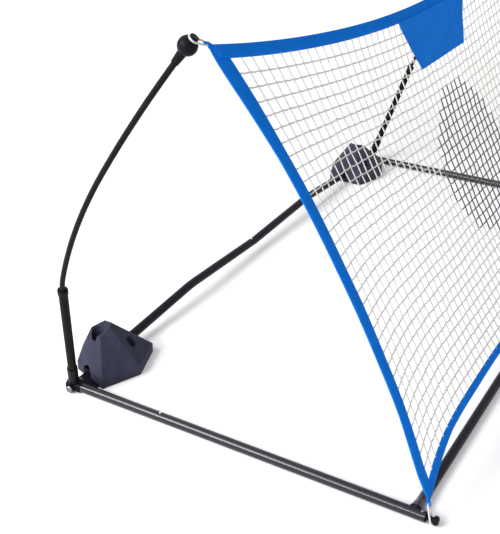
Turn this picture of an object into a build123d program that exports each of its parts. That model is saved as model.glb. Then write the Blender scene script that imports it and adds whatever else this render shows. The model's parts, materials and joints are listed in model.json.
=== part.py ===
"""Golf chipping net: a knock-down steel base, two bowed poles and a leaning net.

Millimetres, +Z up, +X to the golfer's right, +Y away from the golfer. The
origin is on the floor in the middle of the whole object's footprint. Every
piece of the left half is modelled once and mirrored to make the right half.
"""
import math
import os

from build123d import *

# ---- overall layout -------------------------------------------------------
base_width = 1864.0        # between the axes of the two side tubes
base_depth = 958.0         # front cross tube axis to the rear corner axis
front_reach = 55.5         # floor space in front of the front cross tube axis
block_rear_reach = 85.0    # floor space behind the rear corner axis

half_width = base_width / 2
front_y = -(base_depth + block_rear_reach - front_reach) / 2
rear_y = front_y + base_depth
front_end_y = front_y - front_reach

# ---- tubes ------------------------------------------------------------------
tube_dia = 25.4            # side tubes and rear cross tube
sleeve_dia = 22.2          # pole sleeves
tube_wall = 1.2
front_tube_dia = 22.0      # the front cross tube plugs into the tees
fit_gap = 0.1              # radial gap of a tube plugged into a tube
seat_gap = 0.3             # gap between pieces that only lie together
axis_z = tube_dia / 2
tube_bore = tube_dia - 2 * tube_wall
sleeve_bore = sleeve_dia - 2 * tube_wall
front_tube_bore = front_tube_dia - 2 * tube_wall

side_seam_back = 262.0     # side tube seam, in front of the rear corner axis
side_tail = 8.0            # side tube behind the rear corner axis
tee_run_back = 34.0        # tee run behind the front cross tube axis
tee_run_front = 27.0       # tee run in front of the front cross tube axis
spigot_length = 110.0      # inner tube that joins two tube ends
side_seam_y = rear_y - side_seam_back
side_rear_end_y = rear_y + side_tail
tee_rear_y = front_y + tee_run_back
tee_front_y = front_y - tee_run_front

# ---- spring buttons ---------------------------------------------------------
button_dia = 7.0
button_rise = 3.0          # how far a button stands out, and its travel
button_slack = 0.2         # radial gap round a button
button_setback = 22.0      # button, from the seam it locks
button_flange_dia = 9.6
button_flange_thick = 1.5
leaf_width = 6.0
leaf_thick = 0.8
leaf_length = 30.0

# ---- front tee and end knob -------------------------------------------------
tee_branch_length = 78.0   # from the side tube axis
tee_flare_dia = 36.0
tee_flare_length = 30.0
tee_spigot_length = 60.0
knob_stem_dia = 12.0
knob_stem_length = 17.0
knob_disc_dia = 22.0
knob_flange_thick = 2.0
knob_plug_length = 24.0
rivet_dia = 4.5
rivet_head_dia = 7.5
rivet_head_rise = 1.2
rivet_back = 9.0           # rivet, behind the front end of the tee's run

# ---- rear corner fitting ----------------------------------------------------
collar_dia = 31.0
collar_length = 42.0
socket_dia = 27.0
socket_height = 80.0       # along the pole's axis
socket_floor = 12.0        # where the sleeve stands, along the pole's axis
boss_dia = 22.0
boss_reach = 22.0          # boss end, outside the side tube axis
boss_front = 11.0          # boss axis, in front of the rear corner axis
bolt_dia = 8.0
bolt_slack = 0.2
bolt_head_dia = 19.0
bolt_head_thick = 5.0
nut_dia = 15.0
nut_thick = 6.0

# ---- poles ------------------------------------------------------------------
sleeve_front = 8.0         # sleeve axis, in front of the rear corner axis
splay_out = 0.311          # sideways lean of the sleeves, per unit of height
splay_front = 0.2741       # forward lean of the sleeves, per unit of height
sleeve_length = 384.0      # from the side tube axis to the sleeve's top
reducer_dia = 25.4
reducer_head = 15.0
reducer_plug = 22.0
pole_dia = 12.7
pole_slack = 0.1
pole_tail = 150.0          # straight length hidden in the sleeve
pole_bend_twist = -43.7    # direction of the bow, degrees round the pole's axis
pole_arc_lengths = (40.0, 338.0, 337.0)
pole_arc_turns = (10.2, 15.6, 6.6)   # degrees

# ---- pole tips --------------------------------------------------------------
ball_dia = 40.0
ball_ahead = 10.0          # ball centre, beyond the pole's end
neck_start_dia = 16.0
neck_end_dia = 21.0
neck_length = 34.0
tip_flat = 13.3            # flat on the ball, from its centre
tip_stem_dia = 13.0
tip_groove = 6.4           # width of the cord's groove over the flat
tip_cap_dia = 19.0
tip_cap_thick = 4.0
tip_screw_dia = 5.0

# ---- rear cross tube --------------------------------------------------------
rear_tube_front = 8.0      # its axis, in front of the rear corner axis
rear_tube_block_z = 24.5
rear_tube_bend_z = 50.0
rear_tube_mid_z = 37.0
rear_tube_end = 186.0      # its end in the block, inside the side tube axis
rear_tube_bend = 552.0     # its bend, inside the side tube axis
rear_bend_radius = 500.0
rear_mid_radius = 120.0

# ---- corner ballast block ---------------------------------------------------
# footprint corners from the rear corner axis: inwards, then back
block_foot = ((34.0, -73.0), (140.0, -119.0), (252.0, -79.0),
              (252.0, 48.0), (152.0, block_rear_reach), (76.0, 43.0))
# run over rise of the facet above each side, in the same order
block_slopes = (0.97, 0.97, 0.97, 0.74, 0.45, 0.60)
block_wall = 26.0
block_blank_height = 150.0
block_top = (101.0, -18.0, 104.0)
block_top_rise = 0.32      # the top facet climbs inwards
block_edge_radius = 3.0
well_place = (122.0, 2.0)
well_dia = 36.0
well_floor = 48.0
well_notch_width = 15.0
well_notch_depth = 15.0
pocket_along = 0.46        # place of the inner pocket along its facet
pocket_up = 56.0           # and up its slope
pocket_dia = 34.0
pocket_depth = 16.0
arch_width = 34.0
arch_height = 34.0
arch_depth = 34.0
arch_front = 4.0           # arch centre, in front of the rear corner axis

# ---- bracket between corner fitting and block -------------------------------
bracket_low = 2.0          # its underside, off the floor
bracket_web = 3.6          # thickness of the web
bracket_plate = 4.0        # plate against the fitting
bracket_height = 19.0
bracket_tongue_in = 12.0   # tongue, inside the block's arch
bracket_tongue = 6.0
bracket_side_gap = 1.5     # between the bracket and the arch's sides
bracket_wing = 40.0        # web in front of the arch, beside the side tube

# ---- net --------------------------------------------------------------------
net_bottom_half = 915.0
net_bottom_v = 35.0
net_top_half = 1002.0
net_top_v = 1100.0
net_side_sag = 61.5
net_top_sag = 109.0
net_bottom_rise = 62.0
net_bottom_power = 7
side_tape = 34.0           # width of the border at each edge
top_tape = 29.0
bottom_tape = 22.0
border_thick = 4.0
net_thick = 2.0
net_columns = 24
net_rows = 12
net_strand = 5.0
banner_top_half = 235.0
banner_bottom_half = 155.0
banner_bottom_v = 832.0
banner_thick = 1.5
target_dia = 428.0
target_v = 543.0
target_columns = 11
target_rows = 13
target_strand = 5.0
target_thick = 1.5

# ---- elastic cords and corner rings -----------------------------------------
cord_dia = 4.4
cord_sides = 8
cord_slack = 0.5
ring_wall = 2.4
ring_length = 5.0
ring_bore = 7.0
ring_tail_width = 14.0
cord_turn = 5.5            # radius of the cord's turn in the net's ring
ring_out = 8.0             # ring centre, outside the net's corner
tail_reach = 30.0


def unit(vector):
    """Return the vector scaled to a length of one."""
    return vector.normalized()


pieces = {}


def keep(name, piece):
    """Register a finished piece under the name of its node."""
    piece.part.label = name
    pieces[name] = piece.part


# ---- axes and planes --------------------------------------------------------
sleeve_foot = Vector(-half_width, rear_y - sleeve_front, axis_z)
pole_axis = unit(Vector(-splay_out, -splay_front, 1))
sleeve_plane = Plane(origin=sleeve_foot, x_dir=(1, 0, 0), z_dir=pole_axis)
side_plane = Plane(origin=(-half_width, 0, axis_z), x_dir=(1, 0, 0), z_dir=(0, 1, 0))

# ---- spring buttons ---------------------------------------------------------


def snap_button(place, along, tube_radius, spigot_bore_radius, floor_rise=0.0):
    """A domed button and its folded leaf, for a tube along X or Y at place."""
    flange_top = math.sqrt(spigot_bore_radius**2 - (button_flange_dia / 2) ** 2) - fit_gap
    flange_low = flange_top - button_flange_thick
    floor_z = floor_rise - math.sqrt(spigot_bore_radius**2 - (leaf_width / 2) ** 2) + fit_gap
    crown = tube_radius + button_rise
    with BuildPart() as button:
        with BuildSketch(Plane(origin=place + Vector(0, 0, flange_low))):
            Circle(button_flange_dia / 2)
        extrude(amount=button_flange_thick)
        with BuildSketch(Plane(origin=place + Vector(0, 0, flange_top))):
            Circle(button_dia / 2)
        extrude(amount=crown - flange_top)
        chamfer(button.faces().sort_by(Axis.Z)[-1].edges(), button_dia * 0.2)
    side = Plane(origin=place, x_dir=along, z_dir=along.cross(Vector(0, 0, 1)))
    with BuildPart() as leaf:
        with BuildSketch(side):
            with BuildLine():
                Polyline(
                    (-leaf_length * 0.2, flange_low - leaf_thick),
                    (-leaf_length * 0.2, flange_low),
                    (leaf_length * 0.2, flange_low),
                    (leaf_length, floor_z + leaf_thick),
                    (leaf_length, floor_z),
                    (-leaf_length * 0.2, floor_z),
                    (-leaf_length * 0.2, floor_z + leaf_thick),
                    (leaf_length * 0.85, floor_z + leaf_thick),
                    (leaf_length * 0.18, flange_low - leaf_thick),
                    close=True,
                )
            make_face()
        extrude(amount=leaf_width / 2, both=True)
    return button, leaf


def button_hole(place):
    """Cut the hole for a spring button upwards from place."""
    with Locations(Plane(origin=place)):
        Cylinder(button_dia / 2 + button_slack, tube_dia,
                 align=(Align.CENTER, Align.CENTER, Align.MIN), mode=Mode.SUBTRACT)


# ---- side tube --------------------------------------------------------------
side_button_place = Vector(-half_width, side_seam_y - button_setback, axis_z)
bolt_y = rear_y - boss_front

with BuildPart() as side_tube_rear:
    with BuildSketch(side_plane.offset(side_seam_y)):
        Circle(tube_dia / 2)
        Circle(tube_bore / 2, mode=Mode.SUBTRACT)
    extrude(amount=side_rear_end_y - side_seam_y)
    with Locations(Plane(origin=(-half_width, bolt_y, axis_z), z_dir=(1, 0, 0))):
        Cylinder(bolt_dia / 2 + bolt_slack, 2 * tube_dia, mode=Mode.SUBTRACT)
keep("left_side_tube_rear", side_tube_rear)

with BuildPart() as side_tube_front:
    with BuildSketch(side_plane.offset(tee_rear_y)):
        Circle(tube_dia / 2)
        Circle(tube_bore / 2, mode=Mode.SUBTRACT)
    extrude(amount=side_seam_y - tee_rear_y)
    button_hole(side_button_place)
keep("left_side_tube_front", side_tube_front)

side_spigot_dia = tube_bore - 2 * fit_gap
side_spigot_bore = side_spigot_dia - 2 * tube_wall
with BuildPart() as side_spigot:
    with BuildSketch(side_plane.offset(side_seam_y - spigot_length / 2)):
        Circle(side_spigot_dia / 2)
        Circle(side_spigot_bore / 2, mode=Mode.SUBTRACT)
    extrude(amount=spigot_length)
    button_hole(side_button_place)
keep("left_side_spigot", side_spigot)

side_button, side_leaf = snap_button(
    side_button_place, Vector(0, 1, 0), tube_dia / 2, side_spigot_bore / 2)
keep("left_side_button", side_button)
keep("left_side_button_leaf", side_leaf)

with BuildPart() as rear_cap:
    with BuildSketch(side_plane.offset(side_rear_end_y)):
        Circle(tube_dia / 2)
    extrude(amount=tube_wall * 2)
    chamfer(rear_cap.faces().sort_by(Axis.Y)[-1].edges(), tube_wall)
    with BuildSketch(side_plane.offset(side_rear_end_y)):
        Circle(tube_bore / 2 - fit_gap)
    extrude(amount=-(side_rear_end_y - bolt_y - bolt_dia))
keep("left_rear_cap", rear_cap)

# ---- front tee, end knob and rivet -------------------------------------------
tee_bore = tube_bore - 2 * fit_gap - 2 * tube_wall
branch_plane = Plane(origin=(-half_width, front_y, axis_z), x_dir=(0, 1, 0), z_dir=(1, 0, 0))
rivet_place = Vector(-half_width, tee_front_y + rivet_back, axis_z)

with BuildPart() as front_tee:
    with BuildSketch(side_plane.offset(tee_front_y)):
        Circle(tube_dia / 2)
    extrude(amount=tee_rear_y - tee_front_y)
    with BuildSketch(side_plane.offset(tee_rear_y)):
        Circle(tube_bore / 2 - fit_gap)
    extrude(amount=tee_spigot_length)
    with BuildSketch(branch_plane):
        Circle(tube_dia / 2)
    extrude(amount=tee_branch_length)
    with BuildSketch(branch_plane.offset(tube_dia * 0.3)):
        Circle(tee_flare_dia / 2)
    with BuildSketch(branch_plane.offset(tube_dia * 0.3 + tee_flare_length)):
        Circle(tube_dia / 2)
    loft(ruled=True)
    # the flare stands on the floor, so its underside is cut level
    split(bisect_by=Plane.XY, keep=Keep.TOP)
    with BuildSketch(side_plane.offset(tee_front_y)):
        Circle(tee_bore / 2)
    extrude(amount=tee_rear_y + tee_spigot_length - tee_front_y, mode=Mode.SUBTRACT)
    with BuildSketch(branch_plane.offset(tube_dia / 2)):
        Circle(front_tube_dia / 2 + fit_gap)
    extrude(amount=tee_branch_length, mode=Mode.SUBTRACT)
    with Locations(Plane(origin=rivet_place)):
        Cylinder(rivet_dia / 2 + fit_gap, tube_dia,
                 align=(Align.CENTER, Align.CENTER, Align.MIN), mode=Mode.SUBTRACT)
keep("left_front_tee", front_tee)

knob_groove_y = tee_front_y - knob_flange_thick - knob_stem_length / 2
knob_disc_thick = front_reach - tee_run_front - knob_flange_thick - knob_stem_length
with BuildPart() as knob:
    with BuildSketch(side_plane.offset(tee_front_y)):
        Circle(tee_bore / 2 - fit_gap)
    extrude(amount=knob_plug_length)
    with BuildSketch(side_plane.offset(tee_front_y)):
        Circle(knob_disc_dia / 2)
    extrude(amount=-knob_flange_thick)
    with BuildSketch(side_plane.offset(tee_front_y - knob_flange_thick)):
        Circle(knob_stem_dia / 2)
    extrude(amount=-knob_stem_length)
    with BuildSketch(side_plane.offset(front_end_y)):
        Circle(knob_disc_dia / 2)
    extrude(amount=knob_disc_thick)
    chamfer(knob.faces().sort_by(Axis.Y)[0].edges(), knob_disc_thick * 0.3)
    with Locations(Plane(origin=rivet_place)):
        Cylinder(rivet_dia / 2 + fit_gap, tube_dia,
                 align=(Align.CENTER, Align.CENTER, Align.MIN), mode=Mode.SUBTRACT)
keep("left_end_knob", knob)

with BuildPart() as rivet:
    with BuildSketch(Plane(origin=rivet_place)):
        Circle(rivet_dia / 2)
    extrude(amount=tube_dia / 2 + rivet_head_rise / 2)
    with BuildSketch(Plane(origin=rivet_place + Vector(0, 0, tube_dia / 2 + fit_gap))):
        Circle(rivet_head_dia / 2)
    extrude(amount=rivet_head_rise)
    chamfer(rivet.faces().sort_by(Axis.Z)[-1].edges(), rivet_head_rise * 0.6)
keep("left_knob_rivet", rivet)

# ---- rear corner fitting and its bolt ----------------------------------------
bolt_plane = Plane(origin=(-half_width, bolt_y, axis_z), x_dir=(0, 1, 0), z_dir=(-1, 0, 0))
with BuildPart() as corner_fitting:
    with BuildSketch(side_plane.offset(side_rear_end_y - collar_length)):
        Circle(collar_dia / 2)
    extrude(amount=collar_length)
    with BuildSketch(sleeve_plane):
        Circle(socket_dia / 2)
    extrude(amount=socket_height)
    chamfer(corner_fitting.faces().sort_by(Axis.Z)[-1].edges(), tube_wall)
    with BuildSketch(bolt_plane):
        Circle(boss_dia / 2)
    extrude(amount=boss_reach)
    split(bisect_by=Plane.XY, keep=Keep.TOP)
    with BuildSketch(side_plane.offset(side_rear_end_y - collar_length)):
        Circle(tube_dia / 2 + fit_gap)
    extrude(amount=collar_length, mode=Mode.SUBTRACT)
    with BuildSketch(sleeve_plane.offset(socket_floor)):
        Circle(sleeve_dia / 2 + fit_gap)
    extrude(amount=socket_height, mode=Mode.SUBTRACT)
    with Locations(bolt_plane):
        Cylinder(bolt_dia / 2 + bolt_slack, 4 * boss_reach, mode=Mode.SUBTRACT)
keep("left_corner_fitting", corner_fitting)

# ---- pole sleeve, reducer and pole --------------------------------------------
with BuildPart() as sleeve:
    with BuildSketch(sleeve_plane.offset(socket_floor + fit_gap)):
        Circle(sleeve_dia / 2)
        Circle(sleeve_bore / 2, mode=Mode.SUBTRACT)
    extrude(amount=sleeve_length - socket_floor - fit_gap)
    # the foot of the sleeve is cut to sit over the side tube
    with BuildSketch(side_plane.offset(rear_y - tube_dia * 2)):
        Circle(tube_dia / 2 + fit_gap)
    extrude(amount=tube_dia * 4, mode=Mode.SUBTRACT)
keep("left_pole_sleeve", sleeve)

pole_bore = pole_dia + 2 * pole_slack
with BuildPart() as reducer:
    with BuildSketch(sleeve_plane.offset(sleeve_length)):
        Circle(reducer_dia / 2)
    extrude(amount=reducer_head)
    chamfer(reducer.faces().sort_by(Axis.Z)[-1].edges(), tube_wall * 1.6)
    with BuildSketch(sleeve_plane.offset(sleeve_length - reducer_plug)):
        Circle(sleeve_bore / 2 - fit_gap)
    extrude(amount=reducer_plug)
    with BuildSketch(sleeve_plane.offset(sleeve_length - reducer_plug)):
        Circle(pole_bore / 2)
    extrude(amount=reducer_plug + reducer_head, mode=Mode.SUBTRACT)
keep("left_sleeve_reducer", reducer)

inward = unit(Vector(1, 0, 0) - pole_axis * pole_axis.X)
bend_direction = inward.rotate(Axis((0, 0, 0), pole_axis), pole_bend_twist)
pole_foot = sleeve_foot + pole_axis * (sleeve_length + reducer_head - pole_tail)
bow_plane = Plane(origin=pole_foot, x_dir=pole_axis, z_dir=pole_axis.cross(bend_direction))
with BuildPart() as pole:
    with BuildLine(bow_plane) as bow:
        run = Line((0, 0), (pole_tail, 0))
        for arc_length, arc_turn in zip(pole_arc_lengths, pole_arc_turns):
            run = JernArc(start=run @ 1, tangent=run % 1,
                          radius=arc_length / math.radians(arc_turn), arc_size=arc_turn)
    with BuildSketch(Plane(origin=pole_foot, z_dir=pole_axis)):
        Circle(pole_dia / 2)
    sweep(path=bow.wire())
keep("left_pole", pole)

pole_end = run @ 1
pole_aim = unit(run % 1)

# ---- cord grooves, net plane and corner rings ------------------------------------
knob_groove = Vector(-half_width, knob_groove_y, axis_z)
ball_centre = pole_end + pole_aim * ball_ahead
groove_ahead = tip_flat + tip_groove / 2
# the net hangs in the plane through the cords' four grooves
cord_seat = ball_centre + pole_aim * groove_ahead
lean = math.atan2(cord_seat.Y - knob_groove.Y, cord_seat.Z - knob_groove.Z)
net_plane = Plane(origin=(0, knob_groove.Y, axis_z), x_dir=(1, 0, 0),
                  z_dir=(0, -math.cos(lean), math.sin(lean)))


def toward(start, target, length):
    """The point at a given length from start, on the way to target."""
    u, v = start
    du, dv = target[0] - u, target[1] - v
    whole = math.hypot(du, dv)
    return u + du * length / whole, v + dv * length / whole


def net_point(place):
    """A point of the net plane as a point in space."""
    return net_plane.from_local_coords(Vector(place[0], place[1], 0))


seat_place = net_plane.to_local_coords(cord_seat)
lower_ring = toward((-net_bottom_half, net_bottom_v), (-half_width, 0), ring_out)
upper_ring = toward((-net_top_half, net_top_v), (seat_place.X, seat_place.Y), ring_out)

# ---- pole tip ------------------------------------------------------------------
# the groove stands square to the cord that pulls in it
ring_way = net_point(upper_ring) - ball_centre
ring_aim = unit(ring_way)
swing = groove_ahead / ring_way.length
tip_aim = ring_aim * swing + unit(pole_aim - ring_aim * pole_aim.dot(ring_aim)) * math.sqrt(1 - swing**2)
groove_point = ball_centre + tip_aim * groove_ahead
neck_plane = Plane(origin=pole_end, z_dir=pole_aim)
tip_plane = Plane(origin=ball_centre, z_dir=tip_aim)
with BuildPart() as ball:
    with BuildSketch(neck_plane.offset(-neck_length)):
        Circle(neck_start_dia / 2)
    with BuildSketch(neck_plane):
        Circle(neck_end_dia / 2)
    loft(ruled=True)
    with Locations(tip_plane):
        Sphere(ball_dia / 2)
    split(bisect_by=tip_plane.offset(tip_flat), keep=Keep.BOTTOM)
    with BuildSketch(tip_plane):
        Circle(tip_stem_dia / 2)
    extrude(amount=tip_flat + tip_groove)
    with BuildSketch(neck_plane.offset(-neck_length)):
        Circle(pole_bore / 2 + fit_gap)
    extrude(amount=neck_length + fit_gap, mode=Mode.SUBTRACT)
    with BuildSketch(tip_plane.offset(fit_gap)):
        Circle(tip_screw_dia / 2 + fit_gap)
    extrude(amount=ball_dia, mode=Mode.SUBTRACT)
keep("left_pole_ball", ball)

with BuildPart() as tip_cap:
    with BuildSketch(tip_plane.offset(tip_flat + tip_groove)):
        Circle(tip_cap_dia / 2)
    extrude(amount=tip_cap_thick)
    chamfer(tip_cap.faces().sort_by(Axis.Z)[-1].edges(), tip_cap_thick * 0.3)
    with BuildSketch(tip_plane.offset(tip_flat + tip_groove)):
        Circle(tip_screw_dia / 2)
    extrude(amount=-(tip_flat + tip_groove - 2 * fit_gap))
keep("left_tip_cap", tip_cap)

# ---- front cross tube -----------------------------------------------------------
front_tube_start = -half_width + tube_dia / 2 + fit_gap
front_line = Plane(origin=(0, front_y, axis_z), x_dir=(0, 1, 0), z_dir=(1, 0, 0))
front_button_place = Vector(-button_setback, front_y, axis_z)
rear_button_place = Vector(-button_setback, 0, 0)

with BuildPart() as front_cross:
    with BuildSketch(front_line.offset(front_tube_start)):
        Circle(front_tube_dia / 2)
        Circle(front_tube_bore / 2, mode=Mode.SUBTRACT)
    extrude(amount=-front_tube_start)
    button_hole(front_button_place)
keep("front_cross_tube_left", front_cross)

with BuildPart() as front_cross_right:
    with BuildSketch(front_line):
        Circle(front_tube_dia / 2)
        Circle(front_tube_bore / 2, mode=Mode.SUBTRACT)
    extrude(amount=-front_tube_start)
keep("front_cross_tube_right", front_cross_right)

front_spigot_dia = front_tube_bore - 2 * fit_gap
front_spigot_bore = front_spigot_dia - 2 * tube_wall
with BuildPart() as front_spigot:
    with BuildSketch(front_line.offset(-spigot_length / 2)):
        Circle(front_spigot_dia / 2)
        Circle(front_spigot_bore / 2, mode=Mode.SUBTRACT)
    extrude(amount=spigot_length)
    button_hole(front_button_place)
keep("front_cross_spigot", front_spigot)

front_button, front_leaf = snap_button(
    front_button_place, Vector(-1, 0, 0), front_tube_dia / 2, front_spigot_bore / 2)
keep("front_cross_button", front_button)
keep("front_cross_button_leaf", front_leaf)

# ---- rear cross tube -------------------------------------------------------------
rear_tube_y = rear_y - rear_tube_front
rear_start = Vector(-half_width + rear_tube_end, rear_tube_y, rear_tube_block_z)
rear_bend_point = Vector(-half_width + rear_tube_bend, rear_tube_y, rear_tube_bend_z)
rear_middle = Vector(0, rear_tube_y, rear_tube_mid_z)
rear_past_middle = rear_middle + (rear_middle - rear_bend_point) * 0.01
mid_rise = (rear_tube_bend_z - rear_tube_mid_z) / -rear_bend_point.X
start_slope = unit(rear_bend_point - rear_start)


def rear_tube_path(first, last, radii):
    """The rear tube's axis between two of its points, with its bends rounded."""
    with BuildLine() as path:
        FilletPolyline(first, *last, radius=radii)
    return path.wire()


def mid_point(x):
    """A point of the straight stretch beside the middle seam."""
    return Vector(x, rear_tube_y, rear_tube_mid_z + mid_rise * abs(x))


rear_button_place = mid_point(-button_setback)
rear_spigot_dia = tube_bore - 2 * fit_gap
rear_spigot_bore = rear_spigot_dia - 2 * tube_wall
with BuildPart() as rear_cross:
    with BuildSketch(Plane(origin=rear_start, z_dir=start_slope)):
        Circle(tube_dia / 2)
        Circle(tube_bore / 2, mode=Mode.SUBTRACT)
    sweep(path=rear_tube_path(rear_start, (rear_bend_point, rear_past_middle), rear_bend_radius))
    split(bisect_by=Plane.YZ, keep=Keep.BOTTOM)
    button_hole(rear_button_place)
keep("rear_cross_tube_left", rear_cross)

with BuildPart() as rear_cross_right:
    with BuildSketch(Plane(origin=rear_start, z_dir=start_slope)):
        Circle(tube_dia / 2)
        Circle(tube_bore / 2, mode=Mode.SUBTRACT)
    sweep(path=rear_tube_path(rear_start, (rear_bend_point, rear_past_middle), rear_bend_radius))
    split(bisect_by=Plane.YZ, keep=Keep.BOTTOM)
    mirror(about=Plane.YZ, mode=Mode.REPLACE)
keep("rear_cross_tube_right", rear_cross_right)

half_spigot = spigot_length / 2
with BuildPart() as rear_spigot:
    with BuildSketch(Plane(origin=mid_point(-half_spigot), z_dir=(1, 0, -mid_rise))):
        Circle(rear_spigot_dia / 2)
        Circle(rear_spigot_bore / 2, mode=Mode.SUBTRACT)
    sweep(path=rear_tube_path(mid_point(-half_spigot), (rear_middle, mid_point(half_spigot)),
                              rear_mid_radius))
    button_hole(rear_button_place)
keep("rear_cross_spigot", rear_spigot)

rear_button, rear_leaf = snap_button(
    rear_button_place, Vector(-1, 0, 0), tube_dia / 2, rear_spigot_bore / 2,
    mid_rise * leaf_length)
keep("rear_cross_button", rear_button)
keep("rear_cross_button_leaf", rear_leaf)

# ---- corner ballast block ----------------------------------------------------------
block_points = [Vector(-half_width + x, rear_y + y, 0) for x, y in block_foot]


def facet_plane(index):
    """The sloped facet that rises from one side of the block's footprint."""
    start = block_points[index]
    side = unit(block_points[(index + 1) % len(block_points)] - start)
    inner = Vector(-side.Y, side.X, 0)
    outward = unit(Vector(-inner.X, -inner.Y, block_slopes[index]))
    return Plane(origin=start + Vector(0, 0, block_wall), x_dir=side, z_dir=outward)


front_inner_side = (block_points[2] - block_points[1]).length
pocket_plane = facet_plane(1)
outer_side = unit(block_points[5] - block_points[0])
arch_y = rear_y - arch_front


def outer_wall_x(y):
    """Where the block's outer wall stands, at a given distance back."""
    return block_points[0].X + outer_side.X * (y - block_points[0].Y) / outer_side.Y


with BuildPart() as block:
    with BuildSketch():
        with BuildLine():
            Polyline(*block_points, close=True)
        make_face()
    extrude(amount=block_blank_height)
    for facet in range(len(block_points)):
        split(bisect_by=facet_plane(facet), keep=Keep.BOTTOM)
    split(bisect_by=Plane(origin=(-half_width + block_top[0], rear_y + block_top[1], block_top[2]),
                          z_dir=(-block_top_rise, 0, 1)), keep=Keep.BOTTOM)
    fillet(block.edges().filter_by_position(Axis.Z, block_wall / 2, block_blank_height),
           block_edge_radius)
    # round well in the top, with a notch towards the side tube
    well = Plane(origin=(-half_width + well_place[0], rear_y + well_place[1], well_floor))
    with BuildSketch(well):
        Circle(well_dia / 2)
    extrude(amount=block_blank_height, mode=Mode.SUBTRACT)
    notch_floor = block_top[2] - well_notch_depth
    with BuildSketch(Plane(origin=(well.origin.X, well.origin.Y, notch_floor))):
        with Locations((-well_dia, 0)):
            Rectangle(2 * well_dia, well_notch_width)
    extrude(amount=block_blank_height, mode=Mode.SUBTRACT)
    # round pocket in the facet that faces the golfer
    with BuildSketch(pocket_plane):
        with Locations((front_inner_side * pocket_along, pocket_up)):
            Circle(pocket_dia / 2)
    extrude(amount=-pocket_depth, mode=Mode.SUBTRACT)
    # socket for the rear cross tube
    with BuildSketch(Plane(origin=rear_start, z_dir=start_slope)):
        Circle(tube_dia / 2 + seat_gap)
    extrude(amount=rear_tube_end, mode=Mode.SUBTRACT)
    # arch for the clip's tongue
    with BuildSketch(Plane(origin=(outer_wall_x(arch_y), arch_y, 0), x_dir=(0, -1, 0),
                           z_dir=(-1, 0, 0))):
        with BuildLine():
            Polyline((arch_width / 2, arch_height - arch_width / 2), (arch_width / 2, 0),
                     (-arch_width / 2, 0), (-arch_width / 2, arch_height - arch_width / 2))
            ThreePointArc((-arch_width / 2, arch_height - arch_width / 2), (0, arch_height),
                          (arch_width / 2, arch_height - arch_width / 2))
        make_face()
    extrude(amount=arch_depth, both=True, mode=Mode.SUBTRACT)
keep("left_corner_block", block)

# ---- bracket and bolt --------------------------------------------------------------------
collar_side_x = -half_width + collar_dia / 2 + seat_gap
tongue_x = outer_wall_x(arch_y) + bracket_tongue_in
bracket_width = arch_width - 2 * bracket_side_gap
wing_rear_y = arch_y - bracket_width / 2
wing_front_y = wing_rear_y - bracket_wing
tube_side_x = -half_width + tube_dia / 2 + seat_gap
collar_front_y = side_rear_end_y - collar_length - seat_gap
with BuildPart() as bracket:
    with BuildSketch(Plane.XY.offset(bracket_low)):
        with Locations(((collar_side_x + tongue_x) / 2, arch_y)):
            Rectangle(tongue_x - collar_side_x, bracket_width)
        with BuildLine():
            Polyline((collar_side_x, wing_rear_y), (collar_side_x, collar_front_y),
                     (tube_side_x, collar_front_y), (tube_side_x, wing_front_y),
                     (outer_wall_x(wing_front_y) - seat_gap, wing_front_y),
                     (outer_wall_x(wing_rear_y) - seat_gap, wing_rear_y), close=True)
        make_face()
    extrude(amount=bracket_web)
    with Locations((collar_side_x, arch_y, bracket_low), (tongue_x - bracket_tongue, arch_y, bracket_low)):
        Box(bracket_plate, bracket_width, bracket_height,
            align=(Align.MIN, Align.CENTER, Align.MIN))
    with Locations(bolt_plane):
        Cylinder(bolt_dia / 2 + bolt_slack, 4 * boss_reach, mode=Mode.SUBTRACT)
keep("left_block_bracket", bracket)

bolt_tip = collar_dia / 2 + seat_gap + bracket_plate + fit_gap + nut_thick
with BuildPart() as bolt:
    with BuildSketch(bolt_plane.offset(boss_reach + fit_gap)):
        Circle(bolt_head_dia / 2)
    extrude(amount=bolt_head_thick)
    chamfer(bolt.faces().sort_by(Axis.X)[0].edges(), bolt_head_thick * 0.4)
    with BuildSketch(bolt_plane.offset(boss_reach + fit_gap)):
        Circle(bolt_dia / 2)
    extrude(amount=-(boss_reach + fit_gap + bolt_tip))
keep("left_corner_bolt", bolt)

with BuildPart() as nut:
    with BuildSketch(bolt_plane.offset(nut_thick - bolt_tip)):
        RegularPolygon(nut_dia / 2, 6)
        Circle(bolt_dia / 2 + fit_gap, mode=Mode.SUBTRACT)
    extrude(amount=-nut_thick)
keep("left_corner_nut", nut)

# ---- net outline -------------------------------------------------------------------------


def side_half(v):
    """Half the net's width at height v, along its bowed-in sides."""
    share = (v - net_bottom_v) / (net_top_v - net_bottom_v)
    straight = net_bottom_half + (net_top_half - net_bottom_half) * share
    return straight - 4 * net_side_sag * share * (1 - share)


def top_edge(u):
    """Height of the net's top edge, which dips to the middle."""
    return net_top_v - net_top_sag * (1 - (u / net_top_half) ** 2)


def bottom_edge(u):
    """Height of the net's bottom edge, which lifts to the middle."""
    return net_bottom_v + net_bottom_rise * (1 - abs(u / net_bottom_half) ** net_bottom_power)


def mesh_point(across, up):
    """A point of the mesh, from -1 to 1 across and 0 to 1 up, inside the border."""
    u = across * net_bottom_half
    v = net_bottom_v
    for _ in range(6):
        low = bottom_edge(u) + bottom_tape
        high = top_edge(u) - top_tape
        v = low + (high - low) * up
        u = across * (side_half(v) - side_tape)
    return u, v


def band(outer_points, inner_points):
    """The face of a closed strip between two smooth edges."""
    outer = Edge.make_spline([Vector(*place) for place in outer_points])
    inner = Edge.make_spline([Vector(*place) for place in inner_points])
    ends = [Edge.make_line(outer @ 0, inner @ 0), Edge.make_line(outer @ 1, inner @ 1)]
    return Face(Wire([outer, inner, *ends]))


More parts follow.
